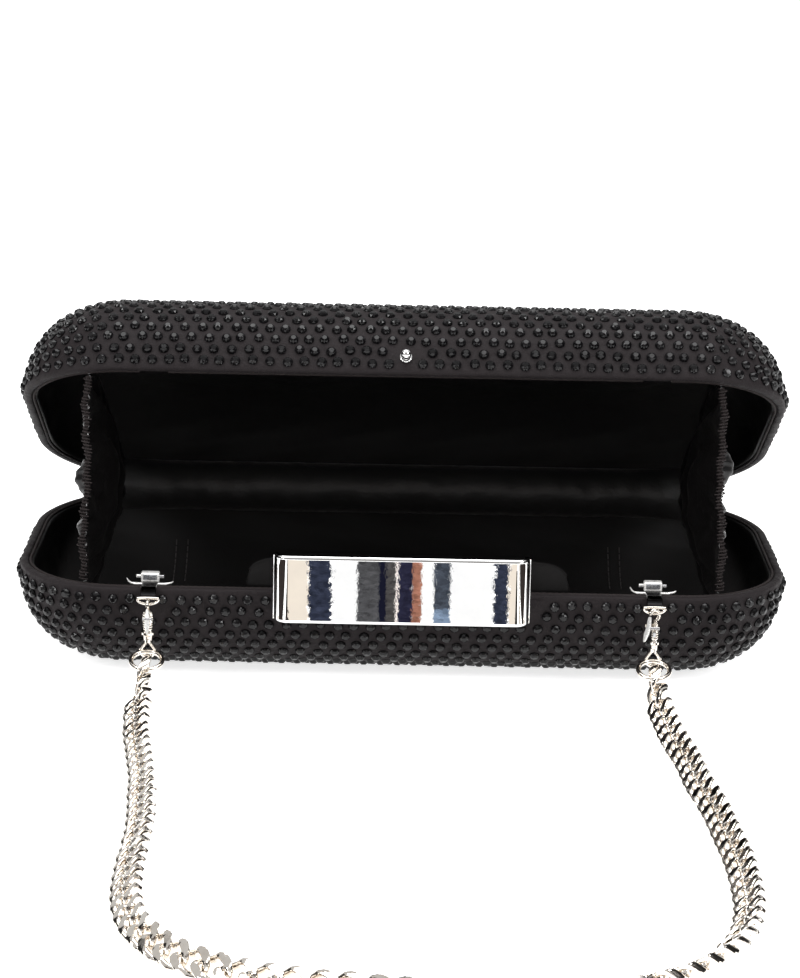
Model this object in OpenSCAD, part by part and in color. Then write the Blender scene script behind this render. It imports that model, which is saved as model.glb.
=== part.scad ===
/* [Case] */
// Width of the case at its rim
case_w = 198; // [180:1:220]
// Height of the case, from the hinge edge to the mouth edge
case_h = 102; // [94:1:116]
// Depth of one half, from its rim to its flat face
half_d = 26; // [23:0.5:30]
// Corner radius of the outline at the mouth
mouth_r = 28; // [27:0.5:34]
// Corner radius of the outline at the hinge
hinge_r = 40; // [30:0.5:44]
// How far in from the outline the domed wall runs before the face is flat
dome_run = 26; // [20:0.5:26.5]
// Squareness of the domed wall: 2 is an ellipse, more is squarer
dome_power = 2.3; // [2:0.1:3]
// Angle between the two rims when the bag stands open
open_angle = 31; // [20:1:40]

/* [Layers of each half] */
// Thickness of the outer satin with its backing
satin_t = 0.6; // [0.4:0.1:0.8]
// Thickness of the stiff shell
shell_t = 1.6; // [1.2:0.1:2]
// Thickness of the padded lining
lining_t = 1.4; // [1:0.1:1.6]
// Diameter of the piping between the satin edge and the lining
piping_d = 0.9; // [0.6:0.1:1]
// Gap between two layers
layer_gap = 0.05; // [0.03:0.01:0.08]
// Half of the gap that is left between the rims when the bag is shut
rim_lift = 0.25; // [0.2:0.05:0.4]

/* [Hinge] */
// Length of the hinge
hinge_len = 110; // [90:1:112]
// Number of knuckles
knuckles = 11; // [7:2:15]
// Outer diameter of a knuckle
knuckle_d = 3; // [2.6:0.1:3.2]
// Diameter of the hinge pin
hinge_pin_d = 1.2; // [1:0.1:1.4]
// Thickness of a hinge leaf
leaf_t = 0.55; // [0.4:0.05:0.65]
// How far a hinge leaf reaches down inside the shell
leaf_drop = 5; // [4:0.1:5.2]
// Rivets in each leaf
leaf_rivets = 5; // [3:1:7]

/* [Clasp] */
// Width of the clasp bar
bar_w = 64; // [50:1:76]
// Height of the clasp bar
bar_h = 17.5; // [15:0.5:20]
// How far the bar reaches below the rim
bar_drop = 6.8; // [6.4:0.1:8]
// Outer radius at which each end of the bar turns back to the case
bar_end_r = 3.6; // [3.2:0.1:4.4]
// Thickness of the bar
bar_t = 1.2; // [0.8:0.1:1.4]
// How far the clasp bar swings out
bar_swing = 30; // [10:1:35]
// Diameter of the ball that the clasp snaps over
ball_d = 2.6; // [2.2:0.1:3]
// Distance of the ball from the rim
ball_drop = 4.5; // [4:0.1:5.5]

/* [Strap fittings] */
// Distance of each strap fitting from the middle of the bag
fitting_x = 63.5; // [50:0.5:68]
// Width of the box of the strap tab
tab_w = 4.6; // [3.8:0.1:5.4]
// Width of the loop of the strap tab
loop_w = 6; // [5.8:0.1:7]
// How far the loop hangs below the rim
loop_drop = 3.9; // [3.6:0.1:4.4]
// Thickness of the wire-like hook of the lobster clasp
hook_wire = 1.1; // [0.9:0.1:1.2]
// Outer diameter of the jump ring
ring_d = 9; // [8:0.5:10]
// Wire diameter of the jump ring
ring_wire = 1.2; // [1:0.1:1.3]

/* [Chain] */
// Wire diameter of a chain link
link_wire = 1.6; // [1.2:0.1:1.8]
// Outer length of a chain link
link_len = 8.7; // [8.2:0.1:9.5]
// Outer width of a chain link
link_w = 7.4; // [6.8:0.1:8]
// Looseness of one link in the next
link_slack = 0.15; // [0.1:0.05:0.3]

/* [Inside] */
// Distance of each gusset from its end of the case
gusset_in = 19; // [15:1:28]
// Thickness of a gusset
gusset_t = 0.8; // [0.5:0.1:1.2]
// Width of the slip pocket
pocket_w = 113; // [90:1:118]

/* [Hidden] */
$fn = 48;

black = [0.07, 0.06, 0.06];
lining_black = [0.05, 0.045, 0.045];
metal = [0.82, 0.82, 0.8];
grey_metal = [0.55, 0.55, 0.56];

// Number of straight steps along the domed wall
wall_steps = 10;
// Radial clearance of a pin in its bore
pin_fit = 0.05;
// Small clearance where two pieces seat without touching
seat_gap = 0.1;
// Overshoot of a cutting solid
over = 5;

// Insets of each layer from the outline of the case
shell_in = satin_t + layer_gap;
shell_inner = shell_in + shell_t;
lining_in = shell_inner + layer_gap;
lining_inner = lining_in + lining_t;
// Half sizes of the outline
half_w = case_w / 2;
half_h = case_h / 2;
// Length of the straight stretch of each side, between the corners
mouth_run = case_w - 2 * mouth_r;
hinge_run = case_w - 2 * hinge_r;
side_run = case_h - mouth_r - hinge_r;

// ---- The pressed form of one half, rim at z = 0, flat face at z = -half_d ----

// A length rounded to a micrometre, so that corners and straight stretches meet exactly
function fine(v) = round(v * 1000) / 1000;

// Inset and height of the wall from its rim, or from top where top is below it, to the flat face
function wall_curve(inset, top) =
    let (depth = half_d - inset,
         run = dome_run - inset,
         start = top < 0 ? asin(pow(-top / depth, dome_power / 2)) : 0)
    [for (k = [0:wall_steps])
        let (a = start + (90 - start) * k / wall_steps)
        [fine(inset + run * (1 - pow(max(cos(a), 0), 2 / dome_power))),
         fine(-depth * pow(sin(a), 2 / dome_power))]];

// The same with a straight collar above the rim where top is above it
function wall_line(inset, top) =
    concat(top > 0 ? [[inset, top]] : [], wall_curve(inset, top));

// Inset of the wall at a height below the rim
function wall_inset(inset, z) =
    inset + (dome_run - inset)
        * (1 - pow(1 - pow(-z / (half_d - inset), dome_power), 1 / dome_power));

module wall_section(inset, top, reach) {
    line = wall_line(inset, top);
    polygon(concat(line, [[reach, inset - half_d], [reach, top]]));
}

module pan_corner(inset, top, r) {
    line = wall_line(inset, top);
    rotate_extrude(angle = 90)
        polygon(concat([for (p = line) [r - p[0], p[1]]], [[0, inset - half_d], [0, top]]));
}

// Solid form of one half inside the given inset
module pan(inset, top) {
    for (side = [0, 1])
        mirror([side, 0, 0]) {
            translate([mouth_run / 2, mouth_r - half_h, 0])
                rotate([0, 0, -90]) pan_corner(inset, top, mouth_r);
            translate([hinge_run / 2, half_h - hinge_r, 0]) pan_corner(inset, top, hinge_r);
            translate([half_w, mouth_r - half_h, 0])
                rotate([90, 0, 180]) linear_extrude(side_run) wall_section(inset, top, mouth_r);
        }
    translate([-mouth_run / 2, -half_h, 0])
        rotate([90, 0, 90]) linear_extrude(mouth_run) wall_section(inset, top, mouth_r);
    translate([-hinge_run / 2, half_h, 0])
        mirror([0, 1, 0]) rotate([90, 0, 90])
            linear_extrude(hinge_run) wall_section(inset, top, hinge_r);
    translate([-mouth_run / 2, mouth_r - half_h, inset - half_d])
        cube([mouth_run, side_run, half_d - inset + top]);
}

// ---- Frames of the two halves ----

module in_front() {
    translate([0, 0, half_d]) children();
}

// The back half is the front half mirrored across the hinge axis and swung open
module in_back() {
    translate([0, half_h, half_d + rim_lift])
        rotate([-open_angle, 0, 0])
            translate([0, -half_h, rim_lift])
                mirror([0, 0, 1]) children();
}

// ---- Room for the hinge ----

leaf_face = shell_inner + 0.35;
strip_z = -0.1;
hinge_x = hinge_len / 2;
lining_notch = leaf_drop + 0.5;

module x_rod(d, len) {
    rotate([0, 90, 0]) cylinder(d = d, h = len, center = true);
}

module barrel_room() {
    translate([0, half_h, rim_lift]) x_rod(knuckle_d + 0.6, hinge_len + 1);
}

module rim_hinge_room() {
    translate([-hinge_x - 0.5, half_h - leaf_face - leaf_t - 0.2, strip_z - leaf_t - 0.1])
        cube([hinge_len + 1, 2 * over, over]);
    barrel_room();
}

module lining_hinge_room() {
    translate([-hinge_x - 2, half_h - 2 * lining_inner, -lining_notch])
        cube([hinge_len + 4, 4 * lining_inner, 2 * over + lining_notch]);
}

leaf_rivet_d = 1.4;
leaf_rivet_z = -0.64 * leaf_drop;
leaf_rivet_xs = [for (i = [0:leaf_rivets - 1]) (i - (leaf_rivets - 1) / 2) * hinge_len / leaf_rivets];

module leaf_rivet_holes() {
    for (x = leaf_rivet_xs)
        translate([x, half_h - shell_in - 0.1, leaf_rivet_z])
            rotate([90, 0, 0]) cylinder(d = leaf_rivet_d + 2 * pin_fit, h = over);
}

// ---- Places in the mouth wall ----

base_rivet_x = 17;
base_rivet_z = -4.5;
base_rivet_d = 1.4;
rivet_head_d = 2.6;
stud_d = 1.4;
nut_d = 4.4;
nut_t = 0.8;

// Round hole through the mouth wall
module mouth_hole(x, z, d) {
    translate([x, -half_h - over, z]) rotate([-90, 0, 0]) cylinder(d = d, h = 3 * over);
}

// How far in from the outline a disc of diameter d seats against the inside of the shell
function tail_seat(z, d) = wall_inset(shell_inner, z - d / 2) + seat_gap;

// Pocket in the outer side of the lining for a nut or a rivet's tail
module tail_room(x, z, d) {
    translate([x, -half_h, z])
        rotate([-90, 0, 0]) cylinder(d = d + 0.3, h = tail_seat(z, d) + nut_t + 0.2);
}

module tail(x, z, d) {
    translate([x, -half_h + tail_seat(z, d), z])
        rotate([-90, 0, 0]) cylinder(d = d, h = nut_t);
}

// ---- Tab notch in the rim of the back half ----

tab_t = 0.6;
notch_w = tab_w + 1.2;
notch_z = -(tab_t + 0.5);

module tab_notches() {
    for (side = [-1, 1])
        translate([side * fitting_x - notch_w / 2, -half_h - over, notch_z])
            cube([notch_w, 3 * over, over]);
}

// ---- Layers ----

module cover_layer() {
    difference() {
        pan(0, 0);
        pan(satin_t, -satin_t);
        pan(shell_inner, over);
        rim_hinge_room();
    }
}

module shell_layer() {
    difference() {
        pan(shell_in, -shell_in);
        pan(shell_inner, over);
        rim_hinge_room();
        leaf_rivet_holes();
    }
}

lining_top = -(piping_d + 2 * layer_gap);

module lining_layer() {
    difference() {
        pan(lining_in, lining_top);
        pan(lining_inner, over);
        lining_hinge_room();
    }
}

piping_in = lining_in + piping_d / 2;

module piping_corner(r) {
    rotate_extrude(angle = 90) translate([r - piping_in, 0]) circle(d = piping_d);
}

// Piping round the rim, left open along the hinge
module piping_run() {
    z = -piping_d / 2;
    reach = (hinge_run - hinge_len - 4) / 2;
    for (side = [0, 1])
        mirror([side, 0, 0]) {
            translate([mouth_run / 2, mouth_r - half_h, z]) rotate([0, 0, -90]) piping_corner(mouth_r);
            translate([hinge_run / 2, half_h - hinge_r, z]) piping_corner(hinge_r);
            translate([half_w - piping_in, mouth_r - half_h, z])
                rotate([-90, 0, 0]) cylinder(d = piping_d, h = side_run);
            translate([hinge_run / 2 - reach, half_h - piping_in, z])
                rotate([0, 90, 0]) cylinder(d = piping_d, h = reach);
        }
    translate([0, piping_in - half_h, z]) x_rod(piping_d, mouth_run);
}

module front_satin_cover() {
    color(black) in_front() difference() {
        cover_layer();
        for (side = [-1, 1]) mouth_hole(side * base_rivet_x, base_rivet_z, base_rivet_d + 0.2);
    }
}

module front_shell() {
    color("dimgray") in_front() difference() {
        shell_layer();
        for (side = [-1, 1]) {
            mouth_hole(side * base_rivet_x, base_rivet_z, base_rivet_d + 2 * pin_fit);
            mouth_hole(side * fitting_x, bracket_rivet_z, bracket_rivet_d + 2 * pin_fit);
        }
    }
}

module front_lining() {
    color(lining_black) in_front() difference() {
        lining_layer();
        for (side = [-1, 1]) {
            tail_room(side * base_rivet_x, base_rivet_z, rivet_head_d);
            mouth_hole(side * fitting_x, bracket_rivet_z, bracket_rivet_d + 0.2);
        }
    }
}

module front_piping() {
    color(black) in_front() piping_run();
}

module back_satin_cover() {
    color(black) in_back() difference() {
        cover_layer();
        mouth_hole(0, -ball_drop, stud_d + 0.2);
        tab_notches();
    }
}

module back_shell() {
    color("dimgray") in_back() difference() {
        shell_layer();
        mouth_hole(0, -ball_drop, stud_d + 2 * pin_fit);
        tab_notches();
    }
}

module back_lining() {
    color(lining_black) in_back() difference() {
        lining_layer();
        tail_room(0, -ball_drop, nut_d);
        tab_notches();
    }
}

module back_piping() {
    color(black) in_back() difference() {
        piping_run();
        tab_notches();
    }
}

// ---- Hinge ----

knuckle_len = hinge_len / knuckles;
knuckle_side_gap = 0.1;

// First knuckle, from the left end, that belongs to each half
front_first = 0;
back_first = 1;

module hinge_leaf(first) {
    y = half_h - leaf_face - leaf_t;
    difference() {
        union() {
            translate([-hinge_x, y, strip_z - leaf_drop + 0.1]) cube([hinge_len, leaf_t, leaf_drop - 0.1]);
            translate([-hinge_x, y, strip_z - leaf_t]) cube([hinge_len, half_h - y, leaf_t]);
        }
        barrel_room();
        leaf_rivet_holes();
    }
    for (k = [first:2:knuckles - 1])
        translate([-hinge_x + k * knuckle_len + knuckle_side_gap, 0, 0]) knuckle(y);
}

// One knuckle with the stretch of leaf that carries it
module knuckle(y) {
    len = knuckle_len - 2 * knuckle_side_gap;
    difference() {
        union() {
            translate([0, half_h, rim_lift]) rotate([0, 90, 0]) cylinder(d = knuckle_d, h = len);
            translate([0, y, strip_z - leaf_t]) cube([len, half_h - y, leaf_t]);
        }
        translate([-1, half_h, rim_lift])
            rotate([0, 90, 0]) cylinder(d = hinge_pin_d + 2 * pin_fit, h = len + 2);
    }
}

module leaf_rivet_row() {
    y = half_h - leaf_face - leaf_t - seat_gap;
    tail_in = wall_inset(satin_t, leaf_rivet_z - leaf_rivet_d / 2) + seat_gap;
    for (x = leaf_rivet_xs)
        translate([x, y, leaf_rivet_z]) {
            rotate([-90, 0, 0]) cylinder(d = leaf_rivet_d, h = half_h - tail_in - y);
            rotate([90, 0, 0]) cylinder(d = 2.4, h = 0.5);
        }
}

module front_hinge_leaf() {
    color(grey_metal) in_front() hinge_leaf(front_first);
}

module back_hinge_leaf() {
    color(grey_metal) in_back() hinge_leaf(back_first);
}

module front_hinge_rivets() {
    color(metal) in_front() leaf_rivet_row();
}

module back_hinge_rivets() {
    color(metal) in_back() leaf_rivet_row();
}

module hinge_pin() {
    color(metal) in_front() translate([0, half_h, rim_lift]) x_rod(hinge_pin_d, hinge_len);
}

// Satin band that carries the lining across the hinge, an arc about the hinge axis
spine_r = norm([leaf_face + leaf_t + 0.6, leaf_drop + rim_lift]) + 0.5;
spine_t = 0.5;
spine_dip = 52;

module spine_lining() {
    color(lining_black)
        in_front() translate([-hinge_x - 1, half_h, rim_lift])
            rotate([0, 90, 0]) rotate([0, 0, 270 - spine_dip - open_angle])
                rotate_extrude(angle = 2 * spine_dip + open_angle)
                    translate([spine_r, 0]) square([spine_t, hinge_len + 2]);
}

// ---- Ball stud of the back half ----

ball_out = 2.2;

module ball_stud() {
    color(metal) in_back() translate([0, -half_h, -ball_drop]) {
        translate([0, -ball_out, 0]) sphere(d = ball_d);
        translate([0, -ball_out, 0]) rotate([-90, 0, 0])
            cylinder(d = stud_d, h = ball_out + tail_seat(-ball_drop, nut_d) + nut_t);
        translate([0, -0.4, 0]) rotate([-90, 0, 0]) cylinder(d = 3, h = 0.3);
    }
}

module stud_nut() {
    color(grey_metal) in_back() difference() {
        tail(0, -ball_drop, nut_d);
        mouth_hole(0, -ball_drop, stud_d + 2 * pin_fit);
    }
}

// ---- Clasp of the front half ----

// Bead down each end of the bar, and the gap between it and the case
bead_d = 1.9;
bar_end_gap = 1.4;
// Line about which each end turns back, outer and inner face of the bar
bar_turn_y = -half_h - bar_end_gap - bead_d / 2;
bar_turn_x = bar_w / 2 - bar_end_r;
bar_y = bar_turn_y - bar_end_r;
bar_back = bar_y + bar_t;
// Radius of the lips along the bar's top and foot
lip_r = bar_t * 0.75;
// Axis on which the bar swings out, behind the lip of its foot
clasp_pin_d = 1.2;
clasp_knuckle_d = 2.8;
lip_gap = 0.35;
clasp_y = bar_y + 2 * lip_r + lip_gap + clasp_knuckle_d / 2;
clasp_z = -bar_drop + 1.1;
clasp_knuckle_len = 24;
lug_t = 2.2;
base_front = -half_h - 0.8;
base_w = 40;

module clasp_base() {
    lug_x = clasp_knuckle_len / 2 + 0.2;
    color(grey_metal) in_front() difference() {
        union() {
            difference() {
                translate([-base_w / 2, base_front, -bar_drop - 0.2])
                    cube([base_w, over, bar_drop - 1.3]);
                pan(-layer_gap, over);
            }
            for (side = [-1, 1])
                translate([side * (lug_x + lug_t / 2), 0, 0]) clasp_lug();
        }
        translate([0, clasp_y, clasp_z]) x_rod(clasp_pin_d + 2 * pin_fit, base_w);
        for (side = [-1, 1])
            mouth_hole(side * base_rivet_x, base_rivet_z, base_rivet_d + 2 * pin_fit);
    }
}

module clasp_lug() {
    translate([0, clasp_y, clasp_z]) x_rod(clasp_knuckle_d, lug_t);
    translate([-lug_t / 2, clasp_y, clasp_z - clasp_knuckle_d / 2])
        cube([lug_t, base_front - clasp_y + 0.3, clasp_knuckle_d]);
}

module clasp_base_rivets() {
    color(metal) in_front() for (side = [-1, 1]) {
        x = side * base_rivet_x;
        reach = tail_seat(base_rivet_z, rivet_head_d) + nut_t;
        translate([x, base_front - seat_gap, base_rivet_z]) {
            rotate([-90, 0, 0]) cylinder(d = base_rivet_d, h = reach - base_front - half_h + seat_gap);
            rotate([90, 0, 0]) cylinder(d = rivet_head_d, h = 0.6);
        }
        tail(x, base_rivet_z, rivet_head_d);
    }
}

module clasp_pin() {
    color(metal) in_front() translate([0, clasp_y, clasp_z])
        x_rod(clasp_pin_d, clasp_knuckle_len + 2 * lug_t + 1);
}

// Section of the bar: a thin wall with a rounded lip along its top and its foot
module bar_section() {
    translate([bar_end_r - bar_t, lip_r]) square([bar_t, bar_h - 2 * lip_r]);
    for (z = [lip_r, bar_h - lip_r])
        translate([bar_end_r - lip_r, z]) circle(r = lip_r);
}

// One end of the bar, a quarter turn back to the case that closes in a bead
module bar_end() {
    translate([bar_turn_x, bar_turn_y, -bar_drop]) {
        rotate([0, 0, -90]) rotate_extrude(angle = 90) bar_section();
        translate([bar_end_r - bar_t / 2, 0, lip_r / 2]) cylinder(d = bead_d, h = bar_h - lip_r);
    }
}

module clasp_bar() {
    color(metal) in_front() {
        translate([-bar_turn_x, bar_turn_y, -bar_drop])
            rotate([90, 0, 90]) mirror([1, 0, 0]) linear_extrude(2 * bar_turn_x) bar_section();
        for (side = [0, 1])
            mirror([side, 0, 0]) bar_end();
        difference() {
            union() {
                translate([0, clasp_y, clasp_z]) x_rod(clasp_knuckle_d, clasp_knuckle_len);
                clasp_web();
            }
            translate([0, clasp_y, clasp_z]) x_rod(clasp_pin_d + 2 * pin_fit, bar_w);
        }
    }
}

// Floor of the bar, from its foot back to the knuckle
module clasp_web() {
    web_t = 0.8;
    start = bar_back - bar_t / 2;
    translate([-clasp_knuckle_len / 2, start, clasp_z - web_t / 2])
        cube([clasp_knuckle_len, clasp_y - start, web_t]);
}

// Sprung plate behind the bar, with the hole that the ball snaps into
clip_t = 0.3;
clip_w = 12;
clip_y = -half_h - 1.55;
ball_up = ball_drop + 2 * rim_lift;
clip_hole_d = 2.4;

module clasp_spring() {
    foot_z = clasp_z + clasp_knuckle_d / 2 + 0.8;
    foot_len = clip_y - bar_back - seat_gap;
    color(grey_metal) in_front() difference() {
        union() {
            translate([-clip_w / 2, clip_y, foot_z]) cube([clip_w, clip_t, ball_up + 2.8 - foot_z]);
            translate([-clip_w / 2, clip_y - foot_len, foot_z]) cube([clip_w, foot_len + clip_t, clip_t]);
            translate([-clip_w / 2, clip_y - foot_len, foot_z]) cube([clip_w, clip_t, 4]);
        }
        translate([0, clip_y - 1, ball_up]) rotate([-90, 0, 0]) cylinder(d = clip_hole_d, h = 2);
    }
}

// ---- Strap brackets, on the front half ----

bracket_rivet_d = 1.4;
bracket_rivet_z = -4.4;
bracket_face = wall_inset(lining_inner, -7.5) + 0.15;
bracket_t = 0.6;
bracket_w = 10;
ear_t = 0.6;
tab_pin_d = 1;
box_d = 2.4;
tab_pin_y = -half_h + bracket_face + box_d / 2 + 0.2;
tab_pin_z = box_d / 2 + 0.1;

// Places its children at the left or the right fitting
module at_fitting(side) {
    in_front() translate([side * fitting_x, 0, 0]) children();
}

module strap_bracket(side) {
    shelf_z = -1.2;
    y = -half_h + bracket_face;
    color(grey_metal) at_fitting(side) difference() {
        union() {
            translate([-bracket_w / 2, y, -7]) cube([bracket_w, bracket_t, 7 + shelf_z + bracket_t]);
            translate([-bracket_w / 2, y, shelf_z]) cube([bracket_w, box_d + 1, bracket_t]);
            for (s = [-1, 1])
                translate([s * (tab_w / 2 + 0.15 + ear_t / 2), tab_pin_y, tab_pin_z]) bracket_ear(shelf_z);
        }
        translate([0, tab_pin_y, tab_pin_z]) x_rod(tab_pin_d + 2 * pin_fit, bracket_w);
        mouth_hole(0, bracket_rivet_z, bracket_rivet_d + 2 * pin_fit);
    }
}

module bracket_ear(shelf_z) {
    x_rod(box_d - 0.4, ear_t);
    translate([-ear_t / 2, -box_d / 2 + 0.2, shelf_z - tab_pin_z + 0.3])
        cube([ear_t, box_d - 0.4, tab_pin_z - shelf_z - 0.3]);
}

module bracket_rivet(side) {
    start = shell_in + seat_gap + wall_inset(0, bracket_rivet_z);
    color(metal) at_fitting(side) translate([0, -half_h, bracket_rivet_z]) {
        translate([0, start, 0]) rotate([-90, 0, 0])
            cylinder(d = bracket_rivet_d, h = bracket_face + bracket_t + 2 * seat_gap - start);
        translate([0, bracket_face + bracket_t + seat_gap, 0]) rotate([-90, 0, 0]) cylinder(d = 2.4, h = 0.5);
    }
}

module tab_pin(side) {
    color(metal) at_fitting(side) translate([0, tab_pin_y, tab_pin_z])
        x_rod(tab_pin_d, tab_w + 2 * ear_t + 1);
}

// Swinging tab: a box on the pin, a tongue over the rim and a loop outside it
tongue_z = 0.12;
// Gap on each side of the hook where it hangs behind the loop
hook_gap = 0.3;
tongue_out = -half_h - 2 * hook_gap - hook_wire;
loop_bar = 0.8;

module strap_tab(side) {
    color(grey_metal) at_fitting(side) difference() {
        union() {
            translate([-tab_w / 2, tab_pin_y - box_d / 2, tab_pin_z - box_d / 2])
                cube([tab_w, box_d, box_d]);
            translate([-tab_w / 2, tongue_out - tab_t, tongue_z])
                cube([tab_w, tab_pin_y - tongue_out + tab_t, tab_t]);
            translate([0, tongue_out - tab_t, 0]) tab_loop();
        }
        translate([0, tab_pin_y, tab_pin_z]) x_rod(tab_pin_d + 2 * pin_fit, bracket_w);
    }
}

// Loop outside the rim, a plate with a rounded foot and a rounded window
module tab_loop() {
    foot = loop_w / 2;
    rotate([-90, 0, 0]) linear_extrude(tab_t) difference() {
        intersection() {
            translate([-loop_w / 2, -tongue_z - tab_t]) square([loop_w, loop_drop + tongue_z + tab_t]);
            translate([0, loop_drop - foot]) union() {
                circle(r = foot);
                translate([-foot, -loop_drop]) square([loop_w, loop_drop]);
            }
        }
        intersection() {
            translate([-loop_w / 2, -tongue_z + 0.1]) square([loop_w, loop_drop]);
            translate([0, loop_drop - foot]) circle(r = foot - loop_bar);
        }
    }
}

// ---- Lobster clasps ----

// All the pieces below lie in the plane x = 0 of their fitting, hanging from the loop
hook_r = 1.9;
hook_y = -half_h - hook_gap - hook_wire / 2 - hook_r;
hook_hole = hook_r - hook_wire / 2;
hook_z = -loop_drop + loop_bar + 0.1 - sqrt(pow(hook_hole, 2) - pow(tongue_out - hook_y, 2));
lobster_t = 2.4;
shank_len = 9.2;
trigger_pin_d = 0.8;
trigger_y = hook_y - 1.6;
trigger_z = hook_z - 2.9;
trigger_t = 1;
slot_top = 1;
stem_d = 0.9;
stem_head_d = 1.5;

// Places a profile drawn in (y, z) with the given thickness along x, centred
module yz_plate(t) {
    translate([-t / 2, 0, 0]) rotate([90, 0, 90]) linear_extrude(t) children();
}

module lobster_profile() {
    outer = hook_r + hook_wire / 2;
    difference() {
        union() {
            translate([hook_y, hook_z]) circle(r = outer);
            polygon([
                [hook_y + outer, hook_z],
                [hook_y + 1.3, hook_z - shank_len],
                [hook_y - 1.3, hook_z - shank_len],
                [hook_y - outer - 0.2, hook_z - 3.4],
                [hook_y - outer - 0.2, hook_z - 2.2],
                [hook_y - hook_r, hook_z - 1.2],
            ]);
        }
        translate([hook_y, hook_z]) circle(r = hook_hole);
        // Mouth of the hook, which the trigger closes
        translate([hook_y - outer - 0.5, hook_z - slot_top]) square([hook_wire + 1, slot_top + 0.8]);
    }
}

module lobster_body(side) {
    foot_z = hook_z - shank_len;
    color(metal) at_fitting(side) difference() {
        union() {
            yz_plate(hook_wire) lobster_profile();
            // Swollen shank that holds the trigger and the swivel
            intersection() {
                yz_plate(lobster_t) lobster_profile();
                translate([-over, hook_y - over, foot_z])
                    cube([2 * over, 2 * over, shank_len - hook_r - 0.2]);
            }
        }
        translate([-trigger_t / 2 - 0.1, hook_y - over, trigger_z - 3.1])
            cube([trigger_t + 0.2, over + 0.5, hook_z - slot_top - trigger_z + 3.1]);
        translate([0, trigger_y, trigger_z]) x_rod(trigger_pin_d + 2 * pin_fit, over);
        translate([0, hook_y, foot_z - 0.1]) cylinder(d = stem_d + 2 * pin_fit, h = 1.3);
        translate([0, hook_y, foot_z + 0.9]) cylinder(d = stem_head_d + 2 * pin_fit, h = 0.8);
    }
}

// Trigger: a lever that closes the mouth of the hook, with a thumb spur
module lobster_trigger(side) {
    mouth_y = hook_y - hook_r;
    color(metal) at_fitting(side) difference() {
        yz_plate(trigger_t) union() {
            translate([trigger_y, trigger_z]) circle(r = 1);
            polygon([
                [trigger_y - 0.9, trigger_z],
                [trigger_y + 0.9, trigger_z],
                [mouth_y + hook_wire / 2, hook_z + 0.6],
                [mouth_y - hook_wire / 2 + 0.2, hook_z + 0.65],
            ]);
            polygon([
                [trigger_y - 0.9, trigger_z + 0.3],
                [trigger_y - 2.4, trigger_z - 2.8],
                [trigger_y - 1.7, trigger_z - 3.2],
                [trigger_y + 0.3, trigger_z - 0.8],
            ]);
        }
        translate([0, trigger_y, trigger_z]) x_rod(trigger_pin_d + 2 * pin_fit, over);
    }
}

module trigger_pin(side) {
    color(grey_metal) at_fitting(side)
        translate([0, trigger_y, trigger_z]) x_rod(trigger_pin_d, lobster_t);
}

// Small coil behind the lever, drawn as the sleeve that its turns fill
module trigger_spring(side) {
    color(grey_metal) at_fitting(side)
        translate([0, trigger_y + 1, trigger_z - 1.8]) rotate([15, 0, 0]) difference() {
            cylinder(d = 0.8, h = 1.3, center = true);
            cylinder(d = 0.4, h = 2, center = true);
        }
}

// Swivelling eye below the shank, with a head that turns inside it
eye_r = 1.75;
eye_wire = 1.1;
eye_z = hook_z - shank_len - 0.5 - eye_r;

module swivel_eye(side) {
    stem_top = hook_z - shank_len + 1.5;
    color(metal) at_fitting(side) translate([0, hook_y, 0]) {
        translate([0, 0, eye_z]) rotate([0, 90, 0])
            rotate_extrude() translate([eye_r, 0]) circle(d = eye_wire);
        translate([0, 0, eye_z + eye_r]) cylinder(d = stem_d, h = stem_top - eye_z - eye_r);
        translate([0, 0, stem_top - 0.5]) cylinder(d = stem_head_d, h = 0.5);
    }
}

// ---- Jump rings ----

ring_tilt = 18;
ring_r = (ring_d - ring_wire) / 2;
ring_y = hook_y - ring_r * cos(ring_tilt);
ring_z = eye_z - eye_r + eye_wire / 2 + ring_wire / 2 + 0.1 - ring_r * sin(ring_tilt);

module jump_ring(side) {
    color(metal) at_fitting(side) translate([0, ring_y, ring_z])
        rotate([ring_tilt, 0, 0]) rotate_extrude() translate([ring_r, 0]) circle(d = ring_wire);
}

// ---- Chain ----

// Points that the strap follows on the table, from the left jump ring round to the right one
lie_z = (link_w - link_wire) / 2 * sin(45) + link_wire / 2 + 0.05;
// How far the first link lies back from the ring that it hangs in
link_play = 1;
// How far it is lifted, so that the ring can swing both ways inside it
link_rise = 0.25;
first_y = ring_y - ring_r * cos(ring_tilt) + ring_wire / 2 + link_play;
first_slope = 0.6;
first_z = half_d + ring_z - ring_r * sin(ring_tilt) + link_rise
    + first_slope * (ring_wire / 2 + link_play);
chain_route = [
    [-fitting_x, first_y, first_z], [-fitting_x - 0.5, first_y - 8, first_z - 8 * first_slope],
    [-64, -79, lie_z + 0.5], [-63, -92, lie_z], [-61, -107, lie_z], [-59, -122, lie_z],
    [-58, -137, lie_z], [-57, -152, lie_z], [-57, -167, lie_z], [-57, -182, lie_z],
    [-56, -197, lie_z], [-52, -212, lie_z], [-43, -225, lie_z], [-29, -234, lie_z],
    [-11, -238, lie_z], [8, -239, lie_z], [27, -238, lie_z], [45, -234, lie_z],
    [59, -225, lie_z], [68, -212, lie_z], [72, -197, lie_z], [73, -182, lie_z],
    [73, -167, lie_z], [72, -152, lie_z], [71, -137, lie_z], [69, -122, lie_z],
    [68, -107, lie_z], [66, -92, lie_z], [65, -80, lie_z + 0.5],
    [fitting_x + 0.5, first_y - 8, first_z - 8 * first_slope], [fitting_x, first_y, first_z],
];
route_last = len(chain_route) - 1;

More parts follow.
